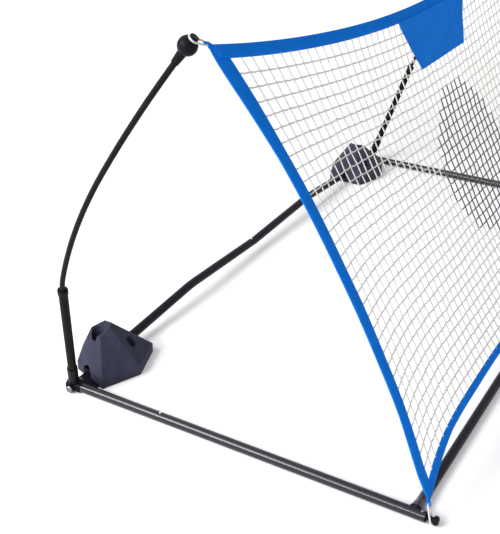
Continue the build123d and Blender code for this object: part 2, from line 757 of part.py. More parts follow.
def shares(count):
    """Evenly spaced shares from 0 to 1."""
    return [step / (count - 1) for step in range(count)]


inner_top = [mesh_point(2 * t - 1, 1) for t in shares(9)]
inner_bottom = [mesh_point(2 * t - 1, 0) for t in shares(13)]
inner_left = [mesh_point(-1, t) for t in shares(9)]

inner_right = [(-u, v) for u, v in inner_left]
mesh_edge = Wire([Edge.make_spline([Vector(*place) for place in side])
                  for side in (inner_top, inner_bottom, inner_left, inner_right)])


def mesh_gap(row, column):
    """Outline of one gap between four crossings of the mesh, clear of the strands."""
    corners = [mesh_point(2 * (column + a) / net_columns - 1, (row + b) / net_rows)
               for a, b in ((0, 0), (1, 0), (1, 1), (0, 1))]
    middle_u = sum(u for u, v in corners) / 4
    middle_v = sum(v for u, v in corners) / 4
    return Wire.make_polygon([(u + math.copysign(net_strand / 2, middle_u - u),
                               v + math.copysign(net_strand / 2, middle_v - v))
                              for u, v in corners])


mesh_gaps = [mesh_gap(row, column) for row in range(net_rows) for column in range(net_columns)]
with BuildPart() as net:
    with BuildSketch(net_plane):
        add(Face(mesh_edge, mesh_gaps))
    extrude(amount=net_thick / 2, both=True)
keep("net_mesh", net)

# ---- border webbing ---------------------------------------------------------------------------
outer_left = [(-side_half(v), v)
              for v in (net_bottom_v + (net_top_v - net_bottom_v) * t for t in shares(9))]


lower_in = toward(lower_ring, inner_left[0], tail_reach)
upper_in = toward(upper_ring, inner_left[-1], tail_reach)


def tail_face(ring, inside, side, grow):
    """The flat tail between a ring and its corner, on one side, grown by a clearance."""
    ahead = unit(Vector(inside[0] - ring[0], inside[1] - ring[1]))
    half = Vector(-ahead.Y, ahead.X) * (ring_tail_width / 2 + grow)
    start = Vector(*ring) + ahead * (ring_bore / 2 + ring_wall / 2)
    end = Vector(*inside) + ahead * grow
    return Face(Wire.make_polygon([(-side * place.X, place.Y) for place in
                                   (start - half, start + half, end + half, end - half)]))


def cord_frame(groove, ring, aim):
    """Direction from groove to ring, and the direction of the cord in the ring."""
    along = unit(ring - groove)
    across = unit(aim.cross(along))
    return along, across


knob_aim = Vector(0, 1, 0)
lower_across = cord_frame(knob_groove, net_point(lower_ring), knob_aim)[1]
upper_across = cord_frame(groove_point, net_point(upper_ring), tip_aim)[1]

with BuildPart() as left_border:
    with BuildSketch(net_plane):
        add(band(outer_left, inner_left))
    extrude(amount=border_thick / 2, both=True)
    # each corner ends in a short doubled tail with a ring for the cord
    with BuildSketch(net_plane):
        add(tail_face(lower_ring, lower_in, -1, 0))
        add(tail_face(upper_ring, upper_in, -1, 0))
    extrude(amount=border_thick / 2, both=True)
    for ring, across in ((lower_ring, lower_across), (upper_ring, upper_across)):
        with BuildSketch(Plane(origin=net_point(ring), z_dir=across)):
            Circle(ring_bore / 2 + ring_wall)
        extrude(amount=ring_length / 2, both=True)
        with BuildSketch(Plane(origin=net_point(ring), z_dir=across)):
            Circle(ring_bore / 2)
        extrude(amount=ring_length * 2, both=True, mode=Mode.SUBTRACT)
keep("net_border_left", left_border)

outer_top = [(u, top_edge(u)) for u in (net_top_half * (2 * t - 1) for t in shares(9))]
with BuildPart() as top_border:
    with BuildSketch(net_plane):
        add(band(outer_top, inner_top))
        add(tail_face(upper_ring, upper_in, -1, seat_gap), mode=Mode.SUBTRACT)
        add(tail_face(upper_ring, upper_in, 1, seat_gap), mode=Mode.SUBTRACT)
    extrude(amount=border_thick / 2, both=True)
keep("net_border_top", top_border)

outer_bottom = [(u, bottom_edge(u)) for u in (net_bottom_half * (2 * t - 1) for t in shares(13))]
with BuildPart() as bottom_border:
    with BuildSketch(net_plane):
        add(band(outer_bottom, inner_bottom))
        add(tail_face(lower_ring, lower_in, -1, seat_gap), mode=Mode.SUBTRACT)
        add(tail_face(lower_ring, lower_in, 1, seat_gap), mode=Mode.SUBTRACT)
    extrude(amount=border_thick / 2, both=True)
keep("net_border_bottom", bottom_border)

# ---- banner and target -----------------------------------------------------------------------------
banner_points = [(u, top_edge(u) - top_tape) for u in
                 (banner_top_half * (2 * t - 1) for t in shares(5))]
with BuildPart() as banner:
    with BuildSketch(net_plane.offset(net_thick / 2 + seat_gap)):
        with BuildLine():
            Spline(*banner_points)
            Polyline(banner_points[-1], (banner_bottom_half, banner_bottom_v),
                     (-banner_bottom_half, banner_bottom_v), banner_points[0])
        make_face()
    extrude(amount=banner_thick)
keep("net_banner", banner)

def target_gaps():
    """Gaps of the target's netting, wherever a whole one fits inside its rim."""
    wide, high = target_dia / target_columns, target_dia / target_rows
    gaps = []
    for row in range(target_rows):
        for column in range(target_columns):
            u = (column + 0.5) * wide - target_dia / 2
            v = (row + 0.5) * high - target_dia / 2
            if math.hypot(abs(u) + wide / 2, abs(v) + high / 2) < target_dia / 2:
                gaps.append(Pos(u, target_v + v) * Rectangle(wide - target_strand, high - target_strand))
    return gaps


round_gaps = target_gaps()
with BuildPart() as target:
    with BuildSketch(net_plane.offset(-net_thick / 2 - seat_gap - target_thick)):
        with Locations((0, target_v)):
            Circle(target_dia / 2)
        add(round_gaps, mode=Mode.SUBTRACT)
    extrude(amount=target_thick)
keep("net_target", target)

# ---- elastic cords ------------------------------------------------------------------------------------


def cord_loop(groove, ring, aim, stem_dia):
    """A closed loop of cord round a stem that points along aim, and through a ring."""
    along, across = cord_frame(groove, ring, aim)
    askew = aim.cross(along).length
    # the loop stands askew on the stem, so its far side swings wider
    wrap = (stem_dia / 2 + cord_slack + cord_dia / 2) / askew
    length = (ring - groove).length - cord_turn
    tilt = math.asin((wrap - cord_turn) / length)
    plane = Plane(origin=groove, x_dir=along, z_dir=along.cross(across))
    near = (wrap * math.sin(tilt), wrap * math.cos(tilt))
    far = (length + cord_turn * math.sin(tilt), cord_turn * math.cos(tilt))
    with BuildPart() as loop:
        with BuildLine(plane) as route:
            ThreePointArc((near[0], -near[1]), (-wrap, 0), near)
            Line(near, far)
            ThreePointArc(far, (length + cord_turn, 0), (far[0], -far[1]))
            Line((far[0], -far[1]), (near[0], -near[1]))
        start = plane.from_local_coords(Vector((near[0] + far[0]) / 2, (near[1] + far[1]) / 2, 0))
        aim = plane.from_local_coords(Vector(*far, 0)) - plane.from_local_coords(Vector(*near, 0))
        with BuildSketch(Plane(origin=start, z_dir=aim)):
            RegularPolygon(cord_dia / 2, cord_sides)
        sweep(path=route.wire())
    return loop


keep("left_lower_cord", cord_loop(knob_groove, net_point(lower_ring), knob_aim, knob_stem_dia))
keep("left_upper_cord", cord_loop(groove_point, net_point(upper_ring), tip_aim, tip_stem_dia))

# ---- the right half, and the files ------------------------------------------------------------------------
for name in list(pieces):
    if "left" in name and "cross_tube" not in name:
        other = name.replace("left", "right")
        with BuildPart() as twin:
            add(pieces[name])
            mirror(about=Plane.YZ, mode=Mode.REPLACE)
        keep(other, twin)

os.makedirs("parts", exist_ok=True)
for name, part in pieces.items():
    part.label = name
    export_step(part, f"parts/{name}.step")
print(len(pieces), "pieces written")
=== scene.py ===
"""Dressed model of a golf chipping net: a leaning net on a knock-down tube base.

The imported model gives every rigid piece. This script gives each of them its
finish, and makes the soft ones anew: the netting with its dark target, the
webbing round its edge, the plain banner and the four elastic cords. Metres,
+Z up, +X to the golfer's right, +Y away from the golfer.
"""
import json
import logging
import math
import random
from dataclasses import dataclass, field
from enum import Enum

import bmesh
import bpy
from mathutils import Matrix, Vector, noise

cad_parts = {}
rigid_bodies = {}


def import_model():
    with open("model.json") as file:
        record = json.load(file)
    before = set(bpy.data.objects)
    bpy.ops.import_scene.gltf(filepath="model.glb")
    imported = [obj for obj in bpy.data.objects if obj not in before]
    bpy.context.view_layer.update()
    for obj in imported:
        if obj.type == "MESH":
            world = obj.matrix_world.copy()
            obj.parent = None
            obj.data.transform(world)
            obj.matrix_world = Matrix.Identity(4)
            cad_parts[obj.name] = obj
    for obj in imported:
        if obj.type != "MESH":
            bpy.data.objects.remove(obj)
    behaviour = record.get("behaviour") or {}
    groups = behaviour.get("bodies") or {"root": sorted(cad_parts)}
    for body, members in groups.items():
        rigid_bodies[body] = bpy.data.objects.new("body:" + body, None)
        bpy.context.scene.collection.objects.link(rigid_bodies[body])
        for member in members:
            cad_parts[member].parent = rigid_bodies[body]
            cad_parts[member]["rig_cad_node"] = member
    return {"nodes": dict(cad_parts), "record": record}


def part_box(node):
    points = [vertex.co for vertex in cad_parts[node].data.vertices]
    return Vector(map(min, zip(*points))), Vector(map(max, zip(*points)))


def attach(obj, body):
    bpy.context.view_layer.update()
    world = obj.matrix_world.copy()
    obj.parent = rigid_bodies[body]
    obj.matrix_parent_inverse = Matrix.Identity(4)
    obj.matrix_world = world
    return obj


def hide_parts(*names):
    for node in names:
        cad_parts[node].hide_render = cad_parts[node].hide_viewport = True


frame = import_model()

log = logging.getLogger("chipping_net")

ROOT = "root"
SIDES = {"left": -1.0, "right": 1.0}
LEVELS = ("lower", "upper")
WHITE = (1.0, 1.0, 1.0, 1.0)
MERGE = 1e-6


# ---------------------------------------------------------------------------
# node helpers
# ---------------------------------------------------------------------------
class Graph:
    """A small wrapper that adds and joins the nodes of one material or world."""

    def __init__(self, owner: bpy.types.Material | bpy.types.World) -> None:
        """Start with an empty tree.

        Args:
            owner: The material or world whose nodes these are.
        """
        self.owner = owner
        owner.use_nodes = True
        self.tree = owner.node_tree
        self.tree.nodes.clear()
        self.output = self.add("OutputWorld" if isinstance(owner, bpy.types.World)
                               else "OutputMaterial")
        self.coords = self.add("TexCoord")

    def add(self, kind: str, inputs: dict | None = None, **settings: object) -> bpy.types.Node:
        """Add a node, set it up and feed it.

        Args:
            kind: The node's type name, without its ShaderNode prefix.
            inputs: Socket name or index to a value or to another node's output.
            settings: Attributes of the node itself.

        Returns:
            The new node.
        """
        node = self.tree.nodes.new("ShaderNode" + kind)
        for key, value in settings.items():
            setattr(node, key, value)
        for key, value in (inputs or {}).items():
            self.feed(node.inputs[key], value)
        return node

    def feed(self, socket: bpy.types.NodeSocket, value: object) -> None:
        """Link an output to a socket, or set the socket's own value.

        Args:
            socket: The input to feed.
            value: Another node's output, or a plain value.
        """
        if isinstance(value, bpy.types.NodeSocket):
            self.tree.links.new(value, socket)
        else:
            socket.default_value = value

    def math(self, operation: str, first: object, second: object = 0.0) -> bpy.types.NodeSocket:
        """Return the output of a Math node over two values."""
        return self.add("Math", {0: first, 1: second}, operation=operation).outputs[0]

    def band(self, value: object, low: float, high: float, out_low: float = 0.0,
             out_high: float = 1.0) -> bpy.types.NodeSocket:
        """Map a value from one range onto another, clamped at both ends."""
        node = self.add("MapRange", {0: value, 1: low, 2: high, 3: out_low, 4: out_high})
        return node.outputs[0]

    def mix(self, factor: object, first: object, second: object) -> bpy.types.NodeSocket:
        """Blend two colours.

        Args:
            factor: How much of the second colour shows.
            first: The colour at 0.
            second: The colour at 1.

        Returns:
            The blended colour.
        """
        node = self.add("Mix", data_type="RGBA")
        self.feed(node.inputs[0], factor)
        self.feed(node.inputs[6], first)
        self.feed(node.inputs[7], second)
        return node.outputs[2]

    def noise(self, vector: bpy.types.NodeSocket, scale: float, detail: float = 3.0,
              roughness: float = 0.55) -> bpy.types.NodeSocket:
        """Return the value of a Noise node."""
        node = self.add("TexNoise", {"Vector": vector, "Scale": scale, "Detail": detail,
                                     "Roughness": roughness})
        return node.outputs[0]

    def bump(self, height: object, strength: float, distance: float,
             normal: bpy.types.NodeSocket | None = None) -> bpy.types.NodeSocket:
        """Bend the normal by a height.

        Args:
            height: The height over the surface.
            strength: How much of it is felt.
            distance: Its full size in metres.
            normal: A normal that is bent already, if any.

        Returns:
            The bent normal.
        """
        node = self.add("Bump", {"Height": height, "Strength": strength, "Distance": distance})
        if normal is not None:
            self.feed(node.inputs["Normal"], normal)
        return node.outputs[0]

    def surface(self, colour: object, roughness: object, normal: object = None,
                **sockets: object) -> bpy.types.Material:
        """Finish the material with a Principled shader.

        Args:
            colour: Base colour, a value or an output.
            roughness: Roughness, a value or an output.
            normal: Bent normal, if any.
            sockets: Other shader inputs, with underscores for spaces.

        Returns:
            The finished material.
        """
        shader = self.add("BsdfPrincipled", {"Base Color": colour, "Roughness": roughness})
        if normal is not None:
            self.feed(shader.inputs["Normal"], normal)
        for key, value in sockets.items():
            self.feed(shader.inputs[key.replace("_", " ").title().replace("Ior", "IOR")], value)
        self.feed(self.output.inputs["Surface"], shader.outputs[0])
        return self.owner

    def shown(self) -> bpy.types.NodeSocket:
        """Return 1 for the rays that see a surface directly or mirrored, 0 for the others."""
        path = self.add("LightPath")
        return self.math("MAXIMUM", path.outputs["Is Camera Ray"], path.outputs["Is Glossy Ray"])


Colour = tuple[float, float, float]


def rgba(colour: Colour, level: float = 1.0) -> tuple[float, float, float, float]:
    """Return a colour with full alpha, scaled by a level."""
    return (colour[0] * level, colour[1] * level, colour[2] * level, 1.0)


# ---------------------------------------------------------------------------
# finishes
# ---------------------------------------------------------------------------
@dataclass(frozen=True)
class PaintedTube:
    """Powder coat on steel tube, with orange peel and faint rubs."""

    name: str
    colour: Colour
    roughness: float
    coat: float
    gloss: float
    peel_scale: float = 900.0
    peel_depth: float = 0.0004
    rub_scale: float = 60.0
    rub_paler: float = 1.7
    coat_roughness: float = 0.12

    def build(self) -> bpy.types.Material:
        """Build the finish.

        Returns:
            The finished material.
        """
        g = Graph(bpy.data.materials.new(self.name))
        place = g.coords.outputs["Object"]
        peel = g.noise(place, self.peel_scale, 2.0)
        rub = g.noise(place, self.rub_scale, 5.0, 0.7)
        fine = g.noise(place, self.rub_scale * 9, 4.0, 0.6)
        worn = g.band(rub, 0.52, 0.78)
        colour = g.mix(worn, rgba(self.colour), rgba(self.colour, self.rub_paler))
        rough = g.math("ADD", g.band(fine, 0.3, 0.7, self.roughness - 0.05, self.roughness + 0.06),
                       g.math("MULTIPLY", worn, 0.06))
        normal = g.bump(peel, 0.10, self.peel_depth)
        return g.surface(colour, rough, normal, coat_weight=self.coat,
                         coat_roughness=self.coat_roughness, specular_ior_level=self.gloss)


@dataclass(frozen=True)
class Moulding:
    """Moulded plastic with a spark-eroded grain and faint clouding."""

    name: str
    colour: Colour
    roughness: float
    grain_scale: float = 1400.0
    cloud_scale: float = 22.0
    grain: float = 0.22
    grain_depth: float = 0.0003
    gloss: float = 0.07

    def build(self) -> bpy.types.Material:
        """Build the finish.

        Returns:
            The finished material.
        """
        g = Graph(bpy.data.materials.new(self.name))
        place = g.coords.outputs["Object"]
        grain = g.noise(place, self.grain_scale, 3.0, 0.6)
        cells = g.add("TexVoronoi", {"Vector": place, "Scale": self.grain_scale * 0.6}).outputs[0]
        cloud = g.noise(place, self.cloud_scale, 6.0, 0.65)
        colour = g.mix(g.band(cloud, 0.35, 0.72), rgba(self.colour, 0.85), rgba(self.colour, 1.25))
        rough = g.band(grain, 0.3, 0.7, self.roughness - 0.06, self.roughness + 0.07)
        height = g.math("ADD", grain, g.math("MULTIPLY", cells, 0.5))
        normal = g.bump(height, self.grain, self.grain_depth)
        return g.surface(colour, rough, normal, specular_ior_level=self.gloss)


@dataclass(frozen=True)
class BareSteel:
    """Bare or plated steel with drawing lines and light staining."""

    name: str
    colour: Colour
    roughness: float
    line_scale: float = 500.0
    line_depth: float = 0.0002
    stain_scale: float = 45.0
    stain_darker: float = 0.62

    def build(self) -> bpy.types.Material:
        """Build the finish.

        Returns:
            The finished material.
        """
        g = Graph(bpy.data.materials.new(self.name))
        place = g.coords.outputs["Object"]
        stretched = g.add("Mapping", {"Vector": place, "Scale": (1.0, 0.08, 1.0)}).outputs[0]
        lines = g.noise(stretched, self.line_scale, 4.0, 0.7)
        stain = g.noise(place, self.stain_scale, 5.0, 0.6)
        colour = g.mix(g.band(stain, 0.45, 0.75), rgba(self.colour),
                       rgba(self.colour, self.stain_darker))
        rough = g.band(lines, 0.3, 0.7, self.roughness - 0.08, self.roughness + 0.1)
        return g.surface(colour, rough, g.bump(lines, 0.12, self.line_depth), metallic=1.0)


@dataclass(frozen=True)
class RodCoat:
    """Dark resin coat on a drawn glass-fibre rod, with faint lengthwise fibres."""

    name: str
    colour: Colour
    roughness: float = 0.42
    fibre_scale: float = 1600.0
    fibre_depth: float = 0.0002
    gloss: float = 0.08

    def build(self) -> bpy.types.Material:
        """Build the finish.

        Returns:
            The finished material.
        """
        g = Graph(bpy.data.materials.new(self.name))
        place = g.coords.outputs["Object"]
        stretched = g.add("Mapping", {"Vector": place, "Scale": (1.0, 1.0, 0.05)}).outputs[0]
        fibres = g.noise(stretched, self.fibre_scale, 4.0, 0.7)
        cloud = g.noise(place, 35.0, 4.0, 0.6)
        colour = g.mix(g.band(cloud, 0.4, 0.75), rgba(self.colour), rgba(self.colour, 1.5))
        rough = g.band(fibres, 0.3, 0.7, self.roughness - 0.07, self.roughness + 0.08)
        return g.surface(colour, rough, g.bump(fibres, 0.16, self.fibre_depth),
                         specular_ior_level=self.gloss)


@dataclass(frozen=True)
class Yarn:
    """Twisted netting yarn."""

    name: str
    colour: Colour
    twist_scale: float = 900.0
    twist_depth: float = 0.0003
    roughness: float = 0.82
    sheen: float = 0.25

    def build(self) -> bpy.types.Material:
        """Build the finish.

        Returns:
            The finished material.
        """
        g = Graph(bpy.data.materials.new(self.name))
        place = g.coords.outputs["Object"]
        slanted = g.add("Mapping", {"Vector": place, "Rotation": (0.5, 0.6, 0.8)}).outputs[0]
        twist = g.add("TexWave", {"Vector": slanted, "Scale": self.twist_scale / math.tau,
                                  "Distortion": 1.5, "Detail": 1.0}).outputs[1]
        fuzz = g.noise(place, self.twist_scale * 1.5, 3.0, 0.7)
        soil = g.noise(place, 7.0, 4.0, 0.6)
        # Painted shade: the hollows of the twist are painted darker, down to 0.88 of the yarn's
        # colour.
        colour = g.mix(g.band(twist, 0.1, 0.7), rgba(self.colour, 0.88), rgba(self.colour))
        colour = g.mix(g.band(soil, 0.5, 0.8, 0.0, 0.35), colour, rgba(self.colour, 0.90))
        height = g.math("ADD", twist, g.math("MULTIPLY", fuzz, 0.4))
        return g.surface(colour, self.roughness, g.bump(height, 0.35, self.twist_depth),
                         sheen_weight=self.sheen)


@dataclass(frozen=True)
class WovenTape:
    """Ribbed polyester tape, woven along its own UV map, with two rows of stitches."""

    name: str
    colour: Colour
    rib: float = 0.0011
    stitch: float = 0.0042
    stitch_inset: float = 0.0045
    thread_depth: float = 0.0005
    roughness: float = 0.85
    gloss: float = 0.06

    def build(self) -> bpy.types.Material:
        """Build the finish.

        Returns:
            The finished material.
        """
        g = Graph(bpy.data.materials.new(self.name))
        uv = g.coords.outputs["UV"]
        parts = g.add("SeparateXYZ", {"Vector": uv})
        along, across = parts.outputs[0], parts.outputs[1]
        turn = math.tau / self.rib
        ribs = g.math("SINE", g.math("MULTIPLY", along, turn))
        ends = g.math("SINE", g.math("MULTIPLY", across, turn * 1.3))
        weave = g.math("MULTIPLY", ribs, ends)
        cloud = g.noise(uv, 30.0, 5.0, 0.6)
        fibre = g.noise(uv, 2600.0, 2.0, 0.6)
        row = g.math("ABSOLUTE", g.math("SUBTRACT", across, self.stitch_inset))
        on_row = g.band(row, 0.0004, 0.0009, 1.0, 0.0)
        dash = g.band(g.math("SINE", g.math("MULTIPLY", along, math.tau / self.stitch)), -0.2, 0.3)
        thread = g.math("MULTIPLY", on_row, dash)
        # Painted shade and highlight: the weave's hollows are painted darker and its ribs lighter.
        base = g.mix(g.band(weave, -0.8, 0.8), rgba(self.colour, 0.82), rgba(self.colour, 1.12))
        base = g.mix(g.band(cloud, 0.38, 0.72), base, rgba(self.colour, 1.08))
        colour = g.mix(thread, base, rgba(self.colour, 1.3))
        height = g.math("ADD", g.math("MULTIPLY", weave, 0.35),
                        g.math("ADD", g.math("MULTIPLY", thread, 0.9),
                               g.math("MULTIPLY", fibre, 0.3)))
        return g.surface(colour, self.roughness, g.bump(height, 0.40, self.thread_depth),
                         specular_ior_level=self.gloss)


@dataclass(frozen=True)
class PlainCloth:
    """Plain-woven banner cloth on its own UV map."""

    name: str
    colour: Colour
    thread: float = 0.0009
    thread_depth: float = 0.0005
    roughness: float = 0.8
    gloss: float = 0.06

    def build(self) -> bpy.types.Material:
        """Build the finish.

        Returns:
            The finished material.
        """
        g = Graph(bpy.data.materials.new(self.name))
        uv = g.coords.outputs["UV"]
        parts = g.add("SeparateXYZ", {"Vector": uv})
        turn = math.tau / self.thread
        warp = g.math("SINE", g.math("MULTIPLY", parts.outputs[0], turn))
        weft = g.math("SINE", g.math("MULTIPLY", parts.outputs[1], turn))
        weave = g.math("MULTIPLY", warp, weft)
        cloud = g.noise(uv, 14.0, 5.0, 0.6)
        slub = g.noise(g.add("Mapping", {"Vector": uv, "Scale": (1.0, 14.0, 1.0)}).outputs[0], 60.0)
        # Painted shade and highlight: the weave's hollows are painted darker and its raised threads
        # lighter.
        colour = g.mix(g.band(weave, -0.8, 0.8), rgba(self.colour, 0.88), rgba(self.colour, 1.08))
        colour = g.mix(g.band(cloud, 0.4, 0.75), colour, rgba(self.colour, 1.12))
        height = g.math("ADD", g.math("MULTIPLY", weave, 0.4), g.math("MULTIPLY", slub, 0.5))
        return g.surface(colour, self.roughness, g.bump(height, 0.35, self.thread_depth),
                         specular_ior_level=self.gloss)


@dataclass(frozen=True)
class Braid:
    """Braided cover of an elastic cord, on the cord's own UV map."""

    name: str
    colour: Colour
    pick: float = 0.0024
    carriers: int = 4
    relief: float = 0.0006
    roughness: float = 0.6
    sheen: float = 0.2

    def build(self) -> bpy.types.Material:
        """Build the finish.

        Returns:
            The finished material.
        """
        g = Graph(bpy.data.materials.new(self.name))
        parts = g.add("SeparateXYZ", {"Vector": g.coords.outputs["UV"]})
        along, around = parts.outputs[0], parts.outputs[1]
        turn = g.math("MULTIPLY", around, math.tau * self.carriers)
        run = g.math("MULTIPLY", along, math.tau / self.pick)
        left = g.math("SINE", g.math("ADD", run, turn))
        right = g.math("SINE", g.math("SUBTRACT", run, turn))
        braid = g.math("MAXIMUM", left, right)
        # Painted shade: the hollows between the braid's carriers are painted darker, down to 0.6 of
        # the cord's colour.
        colour = g.mix(g.band(braid, -0.2, 0.9), rgba(self.colour, 0.6), rgba(self.colour))
        return g.surface(colour, self.roughness, g.bump(braid, 0.6, self.relief),
                         sheen_weight=self.sheen)


class Finish(Enum):
    """Every finish on the object, by the record's slot name.

    Only cross_tube isn't in the record: it is the scene's own.
    """

    BASE_TUBE = PaintedTube("base_tube", (0.007, 0.005, 0.012), 0.26, 0.30, 0.34)
    FRONT_TUBE = PaintedTube("front_tube", (0.004, 0.004, 0.0035), 0.50, 0.0, 0.06)
    INNER_STEEL = BareSteel("inner_steel", (0.42, 0.42, 0.43), 0.38)
    SPRING_STEEL = BareSteel("spring_steel", (0.66, 0.66, 0.67), 0.22)
    ZINC_STEEL = BareSteel("zinc_steel", (0.26, 0.26, 0.29), 0.42)
    BLACK_MOULDING = Moulding("black_moulding", (0.006, 0.0055, 0.009), 0.40)
    BLOCK_MOULDING = Moulding("block_moulding", (0.037, 0.037, 0.062), 0.55)
    CROSS_TUBE = PaintedTube("cross_tube", (0.005, 0.0045, 0.010), 0.42, 0.0, 0.13)
    POLE_ROD = RodCoat("pole_rod", (0.006, 0.006, 0.006))
    BLUE_WEBBING = WovenTape("blue_webbing", (0.0042, 0.170, 0.700))
    BANNER_CLOTH = PlainCloth("banner_cloth", (0.009, 0.190, 0.740))
    WHITE_NETTING = Yarn("white_netting", (0.67, 0.66, 0.63))
    BLACK_NETTING = Yarn("black_netting", (0.050, 0.054, 0.050))
    ELASTIC_CORD = Braid("elastic_cord", (0.80, 0.80, 0.81))


class Wardrobe:
    """Builds each finish once and hands it out."""

    def __init__(self) -> None:
        """Start with nothing built."""
        self.made: dict[Finish, bpy.types.Material] = {}

    def get(self, finish: Finish) -> bpy.types.Material:
        """Find the material of a finish, building it on first use.

        Args:
            finish: The finish wanted.

        Returns:
            Its material.
        """
        if finish not in self.made:
            self.made[finish] = finish.value.build()
        return self.made[finish]

    def dress(self, piece: bpy.types.Object, finish: Finish) -> None:
        """Give a piece one material.

        Args:
            piece: The piece to dress.
            finish: The finish it gets.
        """
        piece.data.materials.clear()
        piece.data.materials.append(self.get(finish))


def piece_from(name: str, mesh: bmesh.types.BMesh) -> bpy.types.Object:
    """Turn a finished bmesh into a smooth object that rides on the base.

    Args:
        name: The piece's name.
        mesh: The bmesh, which is freed.

    Returns:
        The new object, at the origin.
    """
    data = bpy.data.meshes.new(name)
    mesh.to_mesh(data)
    mesh.free()
    for face in data.polygons:
        face.use_smooth = True
    piece = bpy.data.objects.new(name, data)
    bpy.context.scene.collection.objects.link(piece)
    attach(piece, ROOT)
    return piece


def close_up(mesh: bmesh.types.BMesh) -> None:
    """Merge a rolled grid along its seams, cap its ends and turn its faces outwards.

    Args:
        mesh: The rolled grid.
    """
    bmesh.ops.remove_doubles(mesh, verts=mesh.verts, dist=MERGE)
    bmesh.ops.holes_fill(mesh, edges=[e for e in mesh.edges if e.is_boundary], sides=0)
    bmesh.ops.recalc_face_normals(mesh, faces=mesh.faces)


def thicken(piece: bpy.types.Object, thickness: float) -> None:
    """Give a sheet its thickness, half of it on each side.

    Args:
        piece: The sheet.
        thickness: How thick it gets.
    """
    solid = piece.modifiers.new("thickness", "SOLIDIFY")
    solid.thickness = thickness
    solid.offset = 0.0


# ---------------------------------------------------------------------------
# the net's plan
# ---------------------------------------------------------------------------
Place = tuple[float, float]


def toward(start: Place, target: Place, length: float) -> Place:
    """Return the place at a given length from start, on the way to target."""
    way = Vector(target) - Vector(start)
    return tuple(Vector(start) + way.normalized() * length)


@dataclass
class NetPlan:
    """Where the net hangs: its plane, its outline and its belly."""

    lean: float = math.radians(27.01)
    bottom_half: float = 0.915
    bottom: float = 0.035
    top_half: float = 1.002
    top: float = 1.100
    side_sag: float = 0.0615
    top_sag: float = 0.109
    bottom_rise: float = 0.062
    bottom_power: int = 7
    side_tape: float = 0.034
    top_tape: float = 0.029
    bottom_tape: float = 0.022
    pinch: float = 0.30
    pinch_run: float = 0.12
    belly: float = 0.034
    fullness: float = 0.8
    knob_disc: float = 0.0095
    knob_stem: float = 0.017
    seat: Place = (1.0432, 1.1207)
    ring_out: float = 0.008
    passes: int = 6

    def __post_init__(self) -> None:
        """Stand the plane in the grooves of the two front knobs."""
        low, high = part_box("left_end_knob")
        self.base_half = -(low[0] + high[0]) / 2
        groove = low[1] + self.knob_disc + self.knob_stem / 2
        self.origin = Vector((0.0, groove, (low[2] + high[2]) / 2))
        self.up = Vector((0.0, math.sin(self.lean), math.cos(self.lean)))
        self.out = Vector((0.0, -math.cos(self.lean), math.sin(self.lean)))

    def side_half(self, v: float) -> float:
        """Find half the net's width, drawn in between its corners.

        Args:
            v: Height up the plane.

        Returns:
            Half the width there.
        """
        share = (v - self.bottom) / (self.top - self.bottom)
        straight = self.bottom_half + (self.top_half - self.bottom_half) * share
        return straight - 4 * self.side_sag * share * (1 - share)

    def side_width(self, v: float) -> float:
        """Width of the side tape, gathered in towards its foot."""
        rise = (v - self.bottom) / self.pinch_run
        return self.side_tape * (1 - self.pinch * math.exp(-rise ** 2))

    def foot_width(self, u: float) -> float:
        """Width of the bottom tape, gathered in towards its ends."""
        near = (self.bottom_half - abs(u)) / self.pinch_run
        return self.bottom_tape * (1 - self.pinch * math.exp(-near ** 2))

    def top_edge(self, u: float) -> float:
        """Height of the top edge."""
        return self.top - self.top_sag * (1 - (u / self.top_half) ** 2)

    def bottom_edge(self, u: float) -> float:
        """Height of the bottom edge."""
        return self.bottom + self.bottom_rise * (1 - abs(u / self.bottom_half) ** self.bottom_power)

    def mesh_point(self, across: float, up: float) -> Place:
        """Find a place of the open netting inside the tapes.

        Args:
            across: From -1 at the left tape to 1 at the right one.
            up: From 0 at the bottom tape to 1 at the top one.

        Returns:
            The place in the plane.
        """
        u, v = across * self.bottom_half, self.bottom
        for _ in range(self.passes):
            low = self.bottom_edge(u) + self.foot_width(u)
            high = self.top_edge(u) - self.top_tape
            v = low + (high - low) * up
            u = across * (self.side_half(v) - self.side_width(v))
        return u, v

    def depth(self, across: float, up: float) -> float:
        """Find how far the belly stands behind the plane.

        Args:
            across: From -1 to 1 across the netting.
            up: From 0 to 1 up the netting.

        Returns:
            The height over the plane, which is negative behind it.
        """
        across, up = min(1.0, abs(across)), min(1.0, max(0.0, up))
        wide, tall = 1 - across ** 2, 4 * up * (1 - up)
        return -self.belly * wide ** self.fullness * tall ** self.fullness

    def place(self, u: float, v: float, over: float = 0.0) -> Vector:
        """Return the point of space at a place of the plane and a height over it."""
        return self.origin + Vector((u, 0.0, 0.0)) + self.up * v + self.out * over

    def corner(self, side: str, level: str) -> Place:
        """Return the tip of one of the net's corners."""
        half, v = (self.top_half, self.top) if level == "upper" else (self.bottom_half, self.bottom)
        return SIDES[side] * half, v

    def ring(self, side: str, level: str) -> Place:
        """Return the middle of a corner's sewn loop, outside its tip."""
        groove = self.seat if level == "upper" else (self.base_half, 0.0)
        return toward(self.corner(side, level), (SIDES[side] * groove[0], groove[1]), self.ring_out)


# ---------------------------------------------------------------------------
# netting
# ---------------------------------------------------------------------------
Crossing = tuple[int, int]


